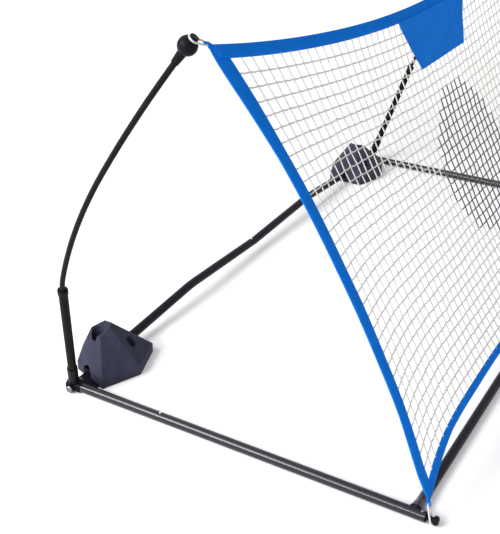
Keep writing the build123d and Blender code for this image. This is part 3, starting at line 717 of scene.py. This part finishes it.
@dataclass
class Netting:
    """The white netting and its dark round target, knotted as one cloth."""

    plan: NetPlan
    columns: int = 58
    rows: int = 33
    yarn: float = 0.0038
    wander: float = 0.0008
    drift: float = 0.0024
    drift_scale: float = 7.0
    sag: float = 0.0014
    tuck: float = 0.003
    target_radius: float = 0.214
    target_up: float = 0.543
    seed: int = 7
    edge_share: float = 0.2
    knot_size: float = 0.8
    knot_height: float = 0.75
    cloth_share: float = 0.45
    knots: dict[Crossing, Vector] = field(default_factory=dict)
    plane: dict[Crossing, Place] = field(default_factory=dict)

    def tie(self) -> None:
        """Place every crossing of the net, with a little wander."""
        rng = random.Random(self.seed)
        for row in range(self.rows + 1):
            for column in range(self.columns + 1):
                across, up = 2 * column / self.columns - 1, row / self.rows
                u, v = self.plan.mesh_point(across, up)
                edge = min(1 - abs(across), up, 1 - up)
                free = min(1.0, edge / self.edge_share)
                spot = Vector((u, v, 0.0)) * self.drift_scale
                u += free * (rng.gauss(0, self.wander) + self.drift * noise.noise(spot))
                spot.z = 9.0
                v += free * (rng.gauss(0, self.wander) + self.drift * noise.noise(spot))
                over = self.plan.depth(across, up) + free * rng.gauss(0, self.wander)
                self.plane[column, row] = (u, v)
                self.knots[column, row] = self.plan.place(u, v, over)

    def is_dark(self, first: Crossing, second: Crossing) -> bool:
        """Tell whether the strand between two crossings lies in the target.

        Args:
            first: One crossing.
            second: The next one, or the same for a knot.

        Returns:
            True for the target's yarn.
        """
        a, b = self.plane[first], self.plane[second]
        reach = math.hypot((a[0] + b[0]) / 2, (a[1] + b[1]) / 2 - self.target_up)
        return reach < self.target_radius

    def strands(self) -> list[list[Crossing]]:
        """List every row and column of the net.

        Returns:
            Each strand as its crossings, rows first.
        """
        rows = [[(c, r) for c in range(self.columns + 1)] for r in range(1, self.rows)]
        columns = [[(c, r) for r in range(self.rows + 1)] for c in range(1, self.columns)]
        return rows + columns

    def runs(self, dark: bool) -> list[list[Crossing]]:
        """Cut the strands into stretches of one colour.

        Args:
            dark: Whether the target's stretches are wanted.

        Returns:
            Each stretch as its crossings.
        """
        found = []
        for strand in self.strands():
            run: list[Crossing] = []
            for first, second in zip(strand, strand[1:]):
                if self.is_dark(first, second) == dark:
                    run = run or [first]
                    run.append(second)
                elif run:
                    found.append(run)
                    run = []
            if run:
                found.append(run)
        return found

    def path(self, run: list[Crossing]) -> list[Vector]:
        """Lay one stretch, sagging between knots and with its ends in the tape.

        Args:
            run: The crossings it passes.

        Returns:
            The points of its middle line.
        """
        points = [self.knots[run[0]]]
        for first, second in zip(run, run[1:]):
            middle = (self.knots[first] + self.knots[second]) / 2
            if first[1] == second[1]:
                middle -= self.plan.up * self.sag
            points += [middle, self.knots[second]]
        if 0 in run[0]:
            points[0] = points[0] + (points[0] - points[1]).normalized() * self.tuck
        if run[-1][0] == self.columns or run[-1][1] == self.rows:
            points[-1] = points[-1] + (points[-1] - points[-2]).normalized() * self.tuck
        return points

    def spin(self, name: str, dark: bool) -> bpy.types.Object:
        """Make the yarn of one colour as tubes along its runs.

        Args:
            name: The piece's name.
            dark: Whether it is the target's yarn.

        Returns:
            The mesh piece.
        """
        curve = bpy.data.curves.new(name, "CURVE")
        curve.dimensions = "3D"
        curve.bevel_depth = self.yarn / 2
        curve.bevel_resolution = 0
        curve.resolution_u = 1
        curve.use_fill_caps = True
        for run in self.runs(dark):
            points = self.path(run)
            spline = curve.splines.new("POLY")
            spline.points.add(len(points) - 1)
            for point, place in zip(spline.points, points):
                point.co = (*place, 1.0)
        tubes = bpy.data.objects.new(name + "_line", curve)
        bpy.context.scene.collection.objects.link(tubes)
        mesh = bpy.data.meshes.new_from_object(tubes)
        bpy.data.objects.remove(tubes)
        bm = bmesh.new()
        bm.from_mesh(mesh)
        bpy.data.meshes.remove(mesh)
        self.add_knots(bm, dark)
        return piece_from(name, bm)

    def add_knots(self, bm: bmesh.types.BMesh, dark: bool) -> None:
        """Put a small flattened knot on every crossing of one colour.

        Args:
            bm: The mesh that holds the strands.
            dark: Whether they are the target's knots.
        """
        lie = Matrix.Rotation(self.plan.lean, 4, "X")
        flat = lie @ Matrix.Diagonal((1.0, self.knot_height, 1.0, 1.0))
        for (column, row), place in self.knots.items():
            inside = 0 < column < self.columns and 0 < row < self.rows
            if inside and self.is_dark((column, row), (column, row)) == dark:
                bmesh.ops.create_icosphere(bm, subdivisions=1, radius=self.yarn * self.knot_size,
                                           matrix=Matrix.Translation(place) @ flat)

    def make(self, wardrobe: Wardrobe) -> list[bpy.types.Object]:
        """Make both pieces.

        Args:
            wardrobe: Where the finishes come from.

        Returns:
            The white netting and its dark target.
        """
        self.tie()
        made = []
        for name, dark, finish, node in (
                ("netting_white", False, Finish.WHITE_NETTING, "net_mesh"),
                ("netting_target", True, Finish.BLACK_NETTING, "net_target")):
            piece = self.spin(name, dark)
            wardrobe.dress(piece, finish)
            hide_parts(node)
            log.info("%s: %d faces", name, len(piece.data.polygons))
            made.append(piece)
        return made

    def declare(self, white: bpy.types.Object, dark: bpy.types.Object) -> None:
        """Takes no step. The share of the rectangle that is declared isn't a
        measure. The netted outline is 0.72 of it, as the report says.

        Args:
            white: The white netting; not used.
            dark: The target in it; not used.
        """


# ---------------------------------------------------------------------------
# webbing
# ---------------------------------------------------------------------------
@dataclass
class Webbing:
    """The blue tape folded over the net's edge, and its sewn corner loops."""

    plan: NetPlan
    puff: float = 0.0027
    hem: float = 0.0045
    groove: float = 0.0005
    around: int = 28
    along: int = 110
    ripple: float = 0.0014
    lift: float = 0.0030
    lift_run: float = 0.05
    loop_length: float = 0.005
    loop_bore: float = 0.007
    loop_wall: float = 0.0024
    tail_width: float = 0.014
    tail_reach: float = 0.030
    tail_thick: float = 0.0006
    tail_cells: tuple[int, int] = (12, 8)
    loop_cells: tuple[int, int] = (28, 12)
    fold_ends: float = 0.72
    fold_back: float = 0.5
    groove_share: float = 0.035
    wave_scale: float = 6.0
    length_steps: int = 24
    lower_flare: Place = (0.20, 0.008)
    upper_flare: Place = (0.25, 0.010)
    foot_flare: Place = (0.20, 0.010)

    def profile(self, turn: float, width: float) -> Place:
        """Return the share across the tape and the height over its middle.

        Args:
            turn: From 0 to 1, once round the folded tape.
            width: The tape's folded width.

        Returns:
            Share from 0, the outer fold, to 1, the inner edge, and the height.
        """
        angle = turn * math.tau
        share = 0.5 - 0.5 * math.copysign(abs(math.cos(angle)) ** self.fold_ends,
                                         math.cos(angle))
        height = self.puff * math.copysign(abs(math.sin(angle)) ** self.fold_back,
                                           math.sin(angle))
        for row in (self.hem / width, 1 - self.hem / width):
            near = math.exp(-((share - row) / self.groove_share) ** 2)
            height -= math.copysign(self.groove * near, height)
        return share, height

    def width(self, side: str) -> float:
        """Return the folded width of one side's tape."""
        plan = self.plan
        return {"top": plan.top_tape, "bottom": plan.bottom_tape}.get(side, plan.side_tape)

    def flare(self, distance: float, reach: float, width: float) -> float:
        """How far an edge spreads past its line, at a distance from the corner."""
        return width * math.sin(math.pi * min(1.0, max(0.0, distance) / reach) ** 0.5)

    def outer(self, side: str, run: float) -> Place:
        """Find a place of a side's outer edge, spread where it nears a corner.

        Args:
            side: The net's side.
            run: From 0 to 1 along it.

        Returns:
            The place in the plane.
        """
        plan = self.plan
        if side in SIDES:
            v = plan.bottom + (plan.top - plan.bottom) * run
            spread = self.flare(v - plan.bottom, *self.lower_flare)
            spread += self.flare(plan.top - v, *self.upper_flare)
            return SIDES[side] * (plan.side_half(v) + spread), v
        if side == "top":
            u = plan.top_half * (2 * run - 1)
            return u, plan.top_edge(u)
        u = plan.bottom_half * (2 * run - 1)
        return u, plan.bottom_edge(u) - self.flare(plan.bottom_half - abs(u), *self.foot_flare)

    def inner(self, side: str, run: float) -> Place:
        """Find a place of a side's inner edge, drawn out to the edge it covers.

        Args:
            side: The net's side.
            run: From 0 to 1 along it.

        Returns:
            The place in the plane.
        """
        plan = self.plan
        if side == "bottom":
            return plan.mesh_point(2 * run - 1, 0.0)
        if side == "top":
            reach = plan.top_half
            for _ in range(plan.passes):
                reach = plan.side_half(plan.top_edge(reach) - plan.top_tape)
            u = reach * (2 * run - 1)
            return u, plan.top_edge(u) - plan.top_tape
        low = plan.bottom
        for _ in range(plan.passes):
            low = plan.bottom_edge(plan.side_half(low) - plan.side_width(low))
        high = plan.mesh_point(1.0, 1.0)[1]
        v = low + (high - low) * run
        return SIDES[side] * (plan.side_half(v) - plan.side_width(v)), v

    def rise(self, side: str, run: float) -> float:
        """Find how far a tape is lifted where it crosses over another.

        Args:
            side: The net's side.
            run: From 0 to 1 along it.

        Returns:
            The height added over the plane.
        """
        if side == "top":
            near = min(run, 1 - run)
        elif side in SIDES:
            near = run
        else:
            return 0.0
        return self.lift * max(0.0, 1 - near / self.lift_run) ** 0.5

    def sew(self, side: str) -> bpy.types.Object:
        """Make one side's length of folded tape.

        Args:
            side: The net's side.

        Returns:
            The tape.
        """
        width, length = self.width(side), self.length(side)
        bm = bmesh.new()
        bmesh.ops.create_grid(bm, x_segments=self.around, y_segments=self.along, size=0.5)
        uv = bm.loops.layers.uv.new("tape")
        turns = {vert: (vert.co.x + 0.5, vert.co.y + 0.5) for vert in bm.verts}
        for face in bm.faces:
            for loop in face.loops:
                turn, run = turns[loop.vert]
                share = self.profile(turn, width)[0]
                loop[uv].uv = (run * length, min(share, 1 - share) * width)
        for vert, (turn, run) in turns.items():
            share, height = self.profile(turn, width)
            place = Vector(self.outer(side, run)).lerp(Vector(self.inner(side, run)), share)
            spot = Vector((*(place * self.wave_scale), 3.0))
            over = height + self.ripple * noise.noise(spot) + self.rise(side, run)
            vert.co = self.plan.place(place.x, place.y, over)
        close_up(bm)
        return piece_from(f"webbing_{side}", bm)

    def length(self, side: str) -> float:
        """Measure one side's outer edge.

        Args:
            side: The net's side.

        Returns:
            Its length.
        """
        steps = self.length_steps
        points = [Vector(self.outer(side, i / steps)) for i in range(steps + 1)]
        return sum((b - a).length for a, b in zip(points, points[1:]))

    def corner_loop(self, side: str, level: str) -> bpy.types.Object:
        """Make the short tail and sewn loop that takes a corner's cord.

        Args:
            side: Left or right.
            level: Lower or upper.

        Returns:
            The loop with its tail.
        """
        plan = self.plan
        ring = Vector(plan.ring(side, level))
        sign = SIDES[side]
        run = 1.0 if level == "upper" else 0.0
        inside = Vector(plan.mesh_point(sign, run))
        ahead = (inside - ring).normalized()
        aside = Vector((-ahead.y, ahead.x))
        bm = bmesh.new()
        columns, rows = self.tail_cells
        tail = bmesh.ops.create_grid(bm, x_segments=columns, y_segments=rows, size=0.5)["verts"]
        for vert in tail:
            forward, across = vert.co.x + 0.5, vert.co.y
            spot = ring + ahead * (self.loop_bore / 2 + forward * self.tail_reach)
            spot += aside * across * self.tail_width
            vert.co = plan.place(spot.x, spot.y, self.puff * (1 - (2 * across) ** 2))
        columns, rows = self.loop_cells
        hoop = bmesh.ops.create_grid(bm, x_segments=columns, y_segments=rows, size=0.5)["verts"]
        axis = plan.place(*aside) - plan.place(0, 0)
        first = plan.place(*ahead) - plan.place(0, 0)
        for vert in hoop:
            angle, round_turn = (vert.co.x + 0.5) * math.tau, (vert.co.y + 0.5) * math.tau
            radius = self.loop_bore / 2 + self.loop_wall / 2 * (1 + math.cos(round_turn))
            arm = first * math.cos(angle) + plan.out * math.sin(angle)
            vert.co = (plan.place(*ring) + arm * radius
                       + axis * self.loop_length / 2 * math.sin(round_turn))
        uv = bm.loops.layers.uv.new("tape")
        for face in bm.faces:
            for corner in face.loops:
                flat = corner.vert.co - plan.place(*ring)
                corner[uv].uv = (flat.dot(first), flat.dot(axis) + plan.side_tape / 2)
        bmesh.ops.remove_doubles(bm, verts=bm.verts, dist=MERGE)
        bmesh.ops.recalc_face_normals(bm, faces=bm.faces)
        loop = piece_from(f"corner_loop_{side}_{level}", bm)
        thicken(loop, self.tail_thick)
        return loop

    def make(self, wardrobe: Wardrobe) -> tuple[list[bpy.types.Object], list[bpy.types.Object]]:
        """Make the four lengths of tape and the four corner loops.

        Args:
            wardrobe: Where the finishes come from.

        Returns:
            The tapes and the loops.
        """
        tapes, loops = [], []
        for side in ("top", "bottom", "left", "right"):
            tape = self.sew(side)
            wardrobe.dress(tape, Finish.BLUE_WEBBING)
            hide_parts(f"net_border_{side}")
            tapes.append(tape)
        for side in SIDES:
            for level in LEVELS:
                loop = self.corner_loop(side, level)
                wardrobe.dress(loop, Finish.BLUE_WEBBING)
                loops.append(loop)
        return tapes, loops

    def declare(self, tapes: list[bpy.types.Object], loops: list[bpy.types.Object]) -> None:
        """Work out each tape's width and length, but keep neither.

        Args:
            tapes: The four tapes.
            loops: The corner loops, which go with the side tapes; not used.
        """
        for tape in tapes:
            side = tape.name.split("_")[1]
            self.width(side)
            self.length(side)


# ---------------------------------------------------------------------------
# banner
# ---------------------------------------------------------------------------
@dataclass
class Banner:
    """The plain cloth panel that hangs under the middle of the top tape."""

    plan: NetPlan
    top_half: float = 0.235
    bottom_half: float = 0.155
    bottom: float = 0.832
    over: float = 0.0034
    thick: float = 0.0010
    wide: int = 60
    tall: int = 30
    ripple: float = 0.0018
    ripple_across: float = 9.0
    ripple_down: float = 14.0
    tuck: float = 0.004
    hem: float = 0.01

    def make(self, wardrobe: Wardrobe) -> bpy.types.Object:
        """Args:
            wardrobe: Where the finishes come from.

        Returns:
            The panel.
        """
        plan = self.plan
        bm = bmesh.new()
        bmesh.ops.create_grid(bm, x_segments=self.wide, y_segments=self.tall, size=0.5)
        uv = bm.loops.layers.uv.new("cloth")
        for vert in bm.verts:
            across, down = vert.co.x * 2, 0.5 - vert.co.y
            u_top = self.top_half * across
            v_top = plan.top_edge(u_top) - plan.top_tape + self.tuck
            u = u_top + (self.bottom_half * across - u_top) * down
            v = v_top + (self.bottom - v_top) * down
            low, high = plan.bottom_edge(u) + plan.bottom_tape, plan.top_edge(u) - plan.top_tape
            depth = plan.depth(u / plan.top_half, (v - low) / (high - low))
            spot = Vector((u * self.ripple_across, v * self.ripple_down, 1.0))
            wave = self.ripple * noise.noise(spot) * down
            vert.co = plan.place(u, v, depth + self.over + wave)
        for face in bm.faces:
            for loop in face.loops:
                flat = loop.vert.co - plan.origin
                loop[uv].uv = (flat.x, flat.dot(plan.up))
        bmesh.ops.recalc_face_normals(bm, faces=bm.faces)
        panel = piece_from("banner_panel", bm)
        thicken(panel, self.thick)
        wardrobe.dress(panel, Finish.BANNER_CLOTH)
        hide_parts("net_banner")
        drop = plan.top_edge(0.0) - plan.top_tape + self.tuck - self.bottom
        return panel


# ---------------------------------------------------------------------------
# cords
# ---------------------------------------------------------------------------
@dataclass
class CornerCord:
    """A closed braided loop from a groove to a corner of the net."""

    plan: NetPlan
    side: str
    level: str
    diameter: float = 0.0044
    slack: float = 0.0005
    turn: float = 0.0055
    knob_stem: float = 0.012
    tip_stem: float = 0.013
    around: int = 14
    wrap_steps: int = 40
    turn_steps: int = 24
    step: float = 0.0006
    pick: float = 0.0024
    carriers: int = 4
    relief: float = 0.05

    def axes(self, node: str) -> tuple[Vector, Vector, Vector, float]:
        """Read the loop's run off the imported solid.

        Args:
            node: The cord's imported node.

        Returns:
            The ring's middle, the directions along and across the loop, and its reach.
        """
        ring = self.plan.place(*self.plan.ring(self.side, self.level))
        places = [vert.co for vert in frame["nodes"][node].data.vertices]
        far = max(places, key=lambda place: (place - ring).length)
        along = (ring - far).normalized()
        arms = [(place - ring) - along * (place - ring).dot(along) for place in places]
        across = max(arms, key=lambda arm: arm.length).normalized()
        return ring, along, across, (ring - far).length - self.diameter / 2

    def line(self, node: str) -> list[Vector]:
        """Lay the loop round its groove and its ring.

        Args:
            node: The cord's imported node.

        Returns:
            The closed centreline, evenly stepped.
        """
        ring, along, across, reach = self.axes(node)
        stem = self.tip_stem if self.level == "upper" else self.knob_stem
        wide = stem / 2 + self.slack + self.diameter / 2
        length = reach - wide
        tilt = math.asin((wide - self.turn) / (length - self.turn))
        groove = ring - along * length
        start = math.pi / 2 - tilt
        near = [(wide, start + (math.pi + 2 * tilt) * i / self.wrap_steps)
                for i in range(self.wrap_steps + 1)]
        back = [(self.turn, start - (math.pi - 2 * tilt) * i / self.turn_steps)
                for i in range(self.turn_steps, -1, -1)]
        points = [groove + (along * math.cos(a) + across * math.sin(a)) * r for r, a in near]
        middle = ring - along * self.turn
        points += [middle + (along * math.cos(a) + across * math.sin(a)) * r for r, a in back]
        return self.even(points)

    def even(self, points: list[Vector]) -> list[Vector]:
        """Step a closed line evenly.

        Args:
            points: The line's points, the first not repeated.

        Returns:
            New points at an even step.
        """
        closed = points + points[:1]
        marks, total = [0.0], 0.0
        for first, second in zip(closed, closed[1:]):
            total += (second - first).length
            marks.append(total)
        count = int(total / self.step)
        found, index = [], 0
        for i in range(count):
            at = total * i / count
            while marks[index + 1] < at:
                index += 1
            share = (at - marks[index]) / max(1e-9, marks[index + 1] - marks[index])
            found.append(closed[index].lerp(closed[index + 1], share))
        return found

    def make(self, wardrobe: Wardrobe) -> bpy.types.Object:
        """Make the cord as a tube with a raised braid.

        Args:
            wardrobe: Where the finishes come from.

        Returns:
            The cord.
        """
        node = f"{self.side}_{self.level}_cord"
        line = self.line(node)
        count = len(line)
        whole = count * self.step
        quarter = line[count // 4]
        normal = (line[0] - quarter).cross(line[count // 2] - quarter).normalized()
        bm = bmesh.new()
        bmesh.ops.create_grid(bm, x_segments=count, y_segments=self.around, size=0.5)
        uv = bm.loops.layers.uv.new("cord")
        turns = {vert: (vert.co.x + 0.5, vert.co.y + 0.5) for vert in bm.verts}
        for face in bm.faces:
            for loop in face.loops:
                run, round_turn = turns[loop.vert]
                loop[uv].uv = (run * whole, round_turn)
        picks = round(whole / self.pick)
        for vert, (run, round_turn) in turns.items():
            index = round(run * count)
            ahead = (line[(index + 1) % count] - line[index - 1]).normalized()
            side = ahead.cross(normal).normalized()
            angle = round_turn * math.tau
            lie = run * picks * math.tau
            wrap = self.carriers * angle
            braid = max(math.sin(lie + wrap), math.sin(lie - wrap))
            radius = self.diameter / 2 * (1 - self.relief + self.relief * braid)
            out = side * math.cos(angle) + normal * math.sin(angle)
            vert.co = line[index % count] + out * radius
        close_up(bm)
        cord = piece_from(f"cord_{self.side}_{self.level}", bm)
        wardrobe.dress(cord, Finish.ELASTIC_CORD)
        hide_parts(node)
        log.info("%s: %.3f m round", cord.name, whole)
        return cord


# ---------------------------------------------------------------------------
# rigid pieces
# ---------------------------------------------------------------------------
@dataclass
class RigidPieces:
    """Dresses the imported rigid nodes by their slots, but for the glossy and satin ones."""

    skip: tuple[str, ...] = ("blue_webbing", "banner_cloth", "white_netting", "black_netting",
                             "elastic_cord")
    glossy: tuple[str, ...] = ("left_front_tee", "right_front_tee")
    satin: tuple[str, ...] = ("rear_cross_tube_left", "rear_cross_tube_right",
                              "front_cross_tube_left", "front_cross_tube_right")

    def make(self, wardrobe: Wardrobe) -> list[str]:
        """Give every rigid node its finish.

        Args:
            wardrobe: Where the finishes come from.

        Returns:
            The names of the nodes dressed.
        """
        finishes = {finish.value.name: finish for finish in Finish}
        own = {node: Finish.BASE_TUBE for node in self.glossy}
        own.update({node: Finish.CROSS_TUBE for node in self.satin})
        dressed = []
        for row in frame["record"]["subparts"]:
            if row["material_slot"] in self.skip:
                continue
            finish = own.get(row["node"], finishes[row["material_slot"]])
            wardrobe.dress(frame["nodes"][row["node"]], finish)
            dressed.append(row["node"])
        return dressed


# ---------------------------------------------------------------------------
# studio
# ---------------------------------------------------------------------------
@dataclass(frozen=True)
class Lamp:
    """A soft rectangular lamp that looks at the middle of the floor."""

    name: str
    place: tuple[float, float, float]
    size: tuple[float, float]
    power: float

    def hang(self) -> None:
        """Add the lamp to the scene."""
        light = bpy.data.lights.new(self.name, "AREA")
        light.shape = "RECTANGLE"
        light.size, light.size_y = self.size
        light.energy = self.power
        lamp = bpy.data.objects.new(self.name, light)
        lamp.location = self.place
        lamp.rotation_mode = "QUATERNION"
        lamp.rotation_quaternion = (-Vector(self.place)).to_track_quat("-Z", "Y")
        bpy.context.scene.collection.objects.link(lamp)


@dataclass
class Studio:
    """A pale floor, soft light from behind and left, and the camera."""

    camera_at: tuple[float, float, float] = (-2.5016, -1.0081, 1.4738)
    yaw: float = math.radians(30.646)
    pitch: float = math.radians(-27.965)
    focal: float = 969.83
    image_long_side: float = 534.0
    sensor: float = 36.0
    floor_half: float = 14.0
    floor_drop: float = 0.0002
    floor_grain: float = 3.0
    floor_shades: tuple[float, float] = (0.93, 0.95)
    view_reach: float = 100.0
    fill_from: tuple[float, float, float] = (-0.90, -0.35, 0.25)
    fill_low: float = 0.02
    fill_high: float = 0.96
    near_glow: float = 0.10
    far_glow: float = 0.60
    glow_reach: tuple[float, float] = (1.6, 5.0)
    lamps: tuple[Lamp, ...] = (
        Lamp("key", (-4.0, 2.9, 4.2), (2.6, 2.6), 165.0),
        Lamp("strip", (-5.6, 2.6, 3.4), (4.4, 1.0), 310.0))

    def set_camera(self) -> None:
        """Place the camera."""
        data = bpy.data.cameras.new("camera")
        data.sensor_width = self.sensor
        data.lens = self.focal * self.sensor / self.image_long_side
        data.clip_end = self.view_reach
        camera = bpy.data.objects.new("camera", data)
        bpy.context.scene.collection.objects.link(camera)
        aim = Vector((math.cos(self.yaw) * math.cos(self.pitch),
                      math.sin(self.yaw) * math.cos(self.pitch), math.sin(self.pitch)))
        camera.location = self.camera_at
        camera.rotation_mode = "QUATERNION"
        camera.rotation_quaternion = aim.to_track_quat("-Z", "Y")
        bpy.context.scene.camera = camera

    def lay_floor(self) -> None:
        """Lay the pale floor."""
        bm = bmesh.new()
        bmesh.ops.create_grid(bm, x_segments=2, y_segments=2, size=self.floor_half)
        data = bpy.data.meshes.new("floor")
        bm.to_mesh(data)
        bm.free()
        floor = bpy.data.objects.new("floor", data)
        floor.location.z = -self.floor_drop
        bpy.context.scene.collection.objects.link(floor)
        g = Graph(bpy.data.materials.new("floor_paper"))
        place = g.coords.outputs["Object"]
        grain = g.noise(place, self.floor_grain)
        dull, fresh = self.floor_shades
        tint = g.mix(g.band(grain, 0.4, 0.6), rgba(WHITE, dull), rgba(WHITE, fresh))
        paper = g.add("BsdfDiffuse", {"Color": tint})
        reach = g.add("VectorMath", {0: place}, operation="LENGTH").outputs["Value"]
        glow = g.add("Emission", {"Color": WHITE, "Strength": g.band(
            reach, *self.glow_reach, self.near_glow, self.far_glow)})
        both = g.add("AddShader", {0: paper.outputs[0], 1: glow.outputs[0]})
        seen = g.add("MixShader", {0: g.shown(), 1: paper.outputs[0], 2: both.outputs[0]})
        g.feed(g.output.inputs["Surface"], seen.outputs[0])
        data.materials.append(g.owner)

    def light(self) -> None:
        """Hang the lamps in a white room whose fill comes from the left."""
        g = Graph(bpy.data.worlds.new("studio"))
        facing = g.add("VectorMath", {0: g.coords.outputs["Generated"], 1: self.fill_from},
                       operation="DOT_PRODUCT").outputs["Value"]
        level = g.band(facing, -1.0, 1.0, self.fill_low, self.fill_high)
        fill = g.add("Background", {"Color": WHITE, "Strength": level})
        white = g.add("Background", {"Color": WHITE, "Strength": 1.0})
        mix = g.add("MixShader", {0: g.shown(), 1: fill.outputs[0], 2: white.outputs[0]})
        g.feed(g.output.inputs["Surface"], mix.outputs[0])
        bpy.context.scene.world = g.owner
        for lamp in self.lamps:
            lamp.hang()

    def make(self) -> None:
        """Set up camera, floor and light."""
        self.set_camera()
        self.lay_floor()
        self.light()
        bpy.context.scene.view_settings.view_transform = "Standard"


def main() -> None:
    """Build everything in order."""
    logging.basicConfig(level=logging.INFO, format="%(name)s: %(message)s")
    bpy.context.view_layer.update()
    wardrobe = Wardrobe()
    Studio().make()
    plan = NetPlan()
    dressed = RigidPieces().make(wardrobe)
    log.info("dressed %d packed nodes", len(dressed))
    netting = Netting(plan)
    netting.declare(*netting.make(wardrobe))
    webbing = Webbing(plan)
    webbing.declare(*webbing.make(wardrobe))
    Banner(plan).make(wardrobe)
    for side in SIDES:
        for level in LEVELS:
            CornerCord(plan, side, level).make(wardrobe)


if __name__ == "__main__":
    main()
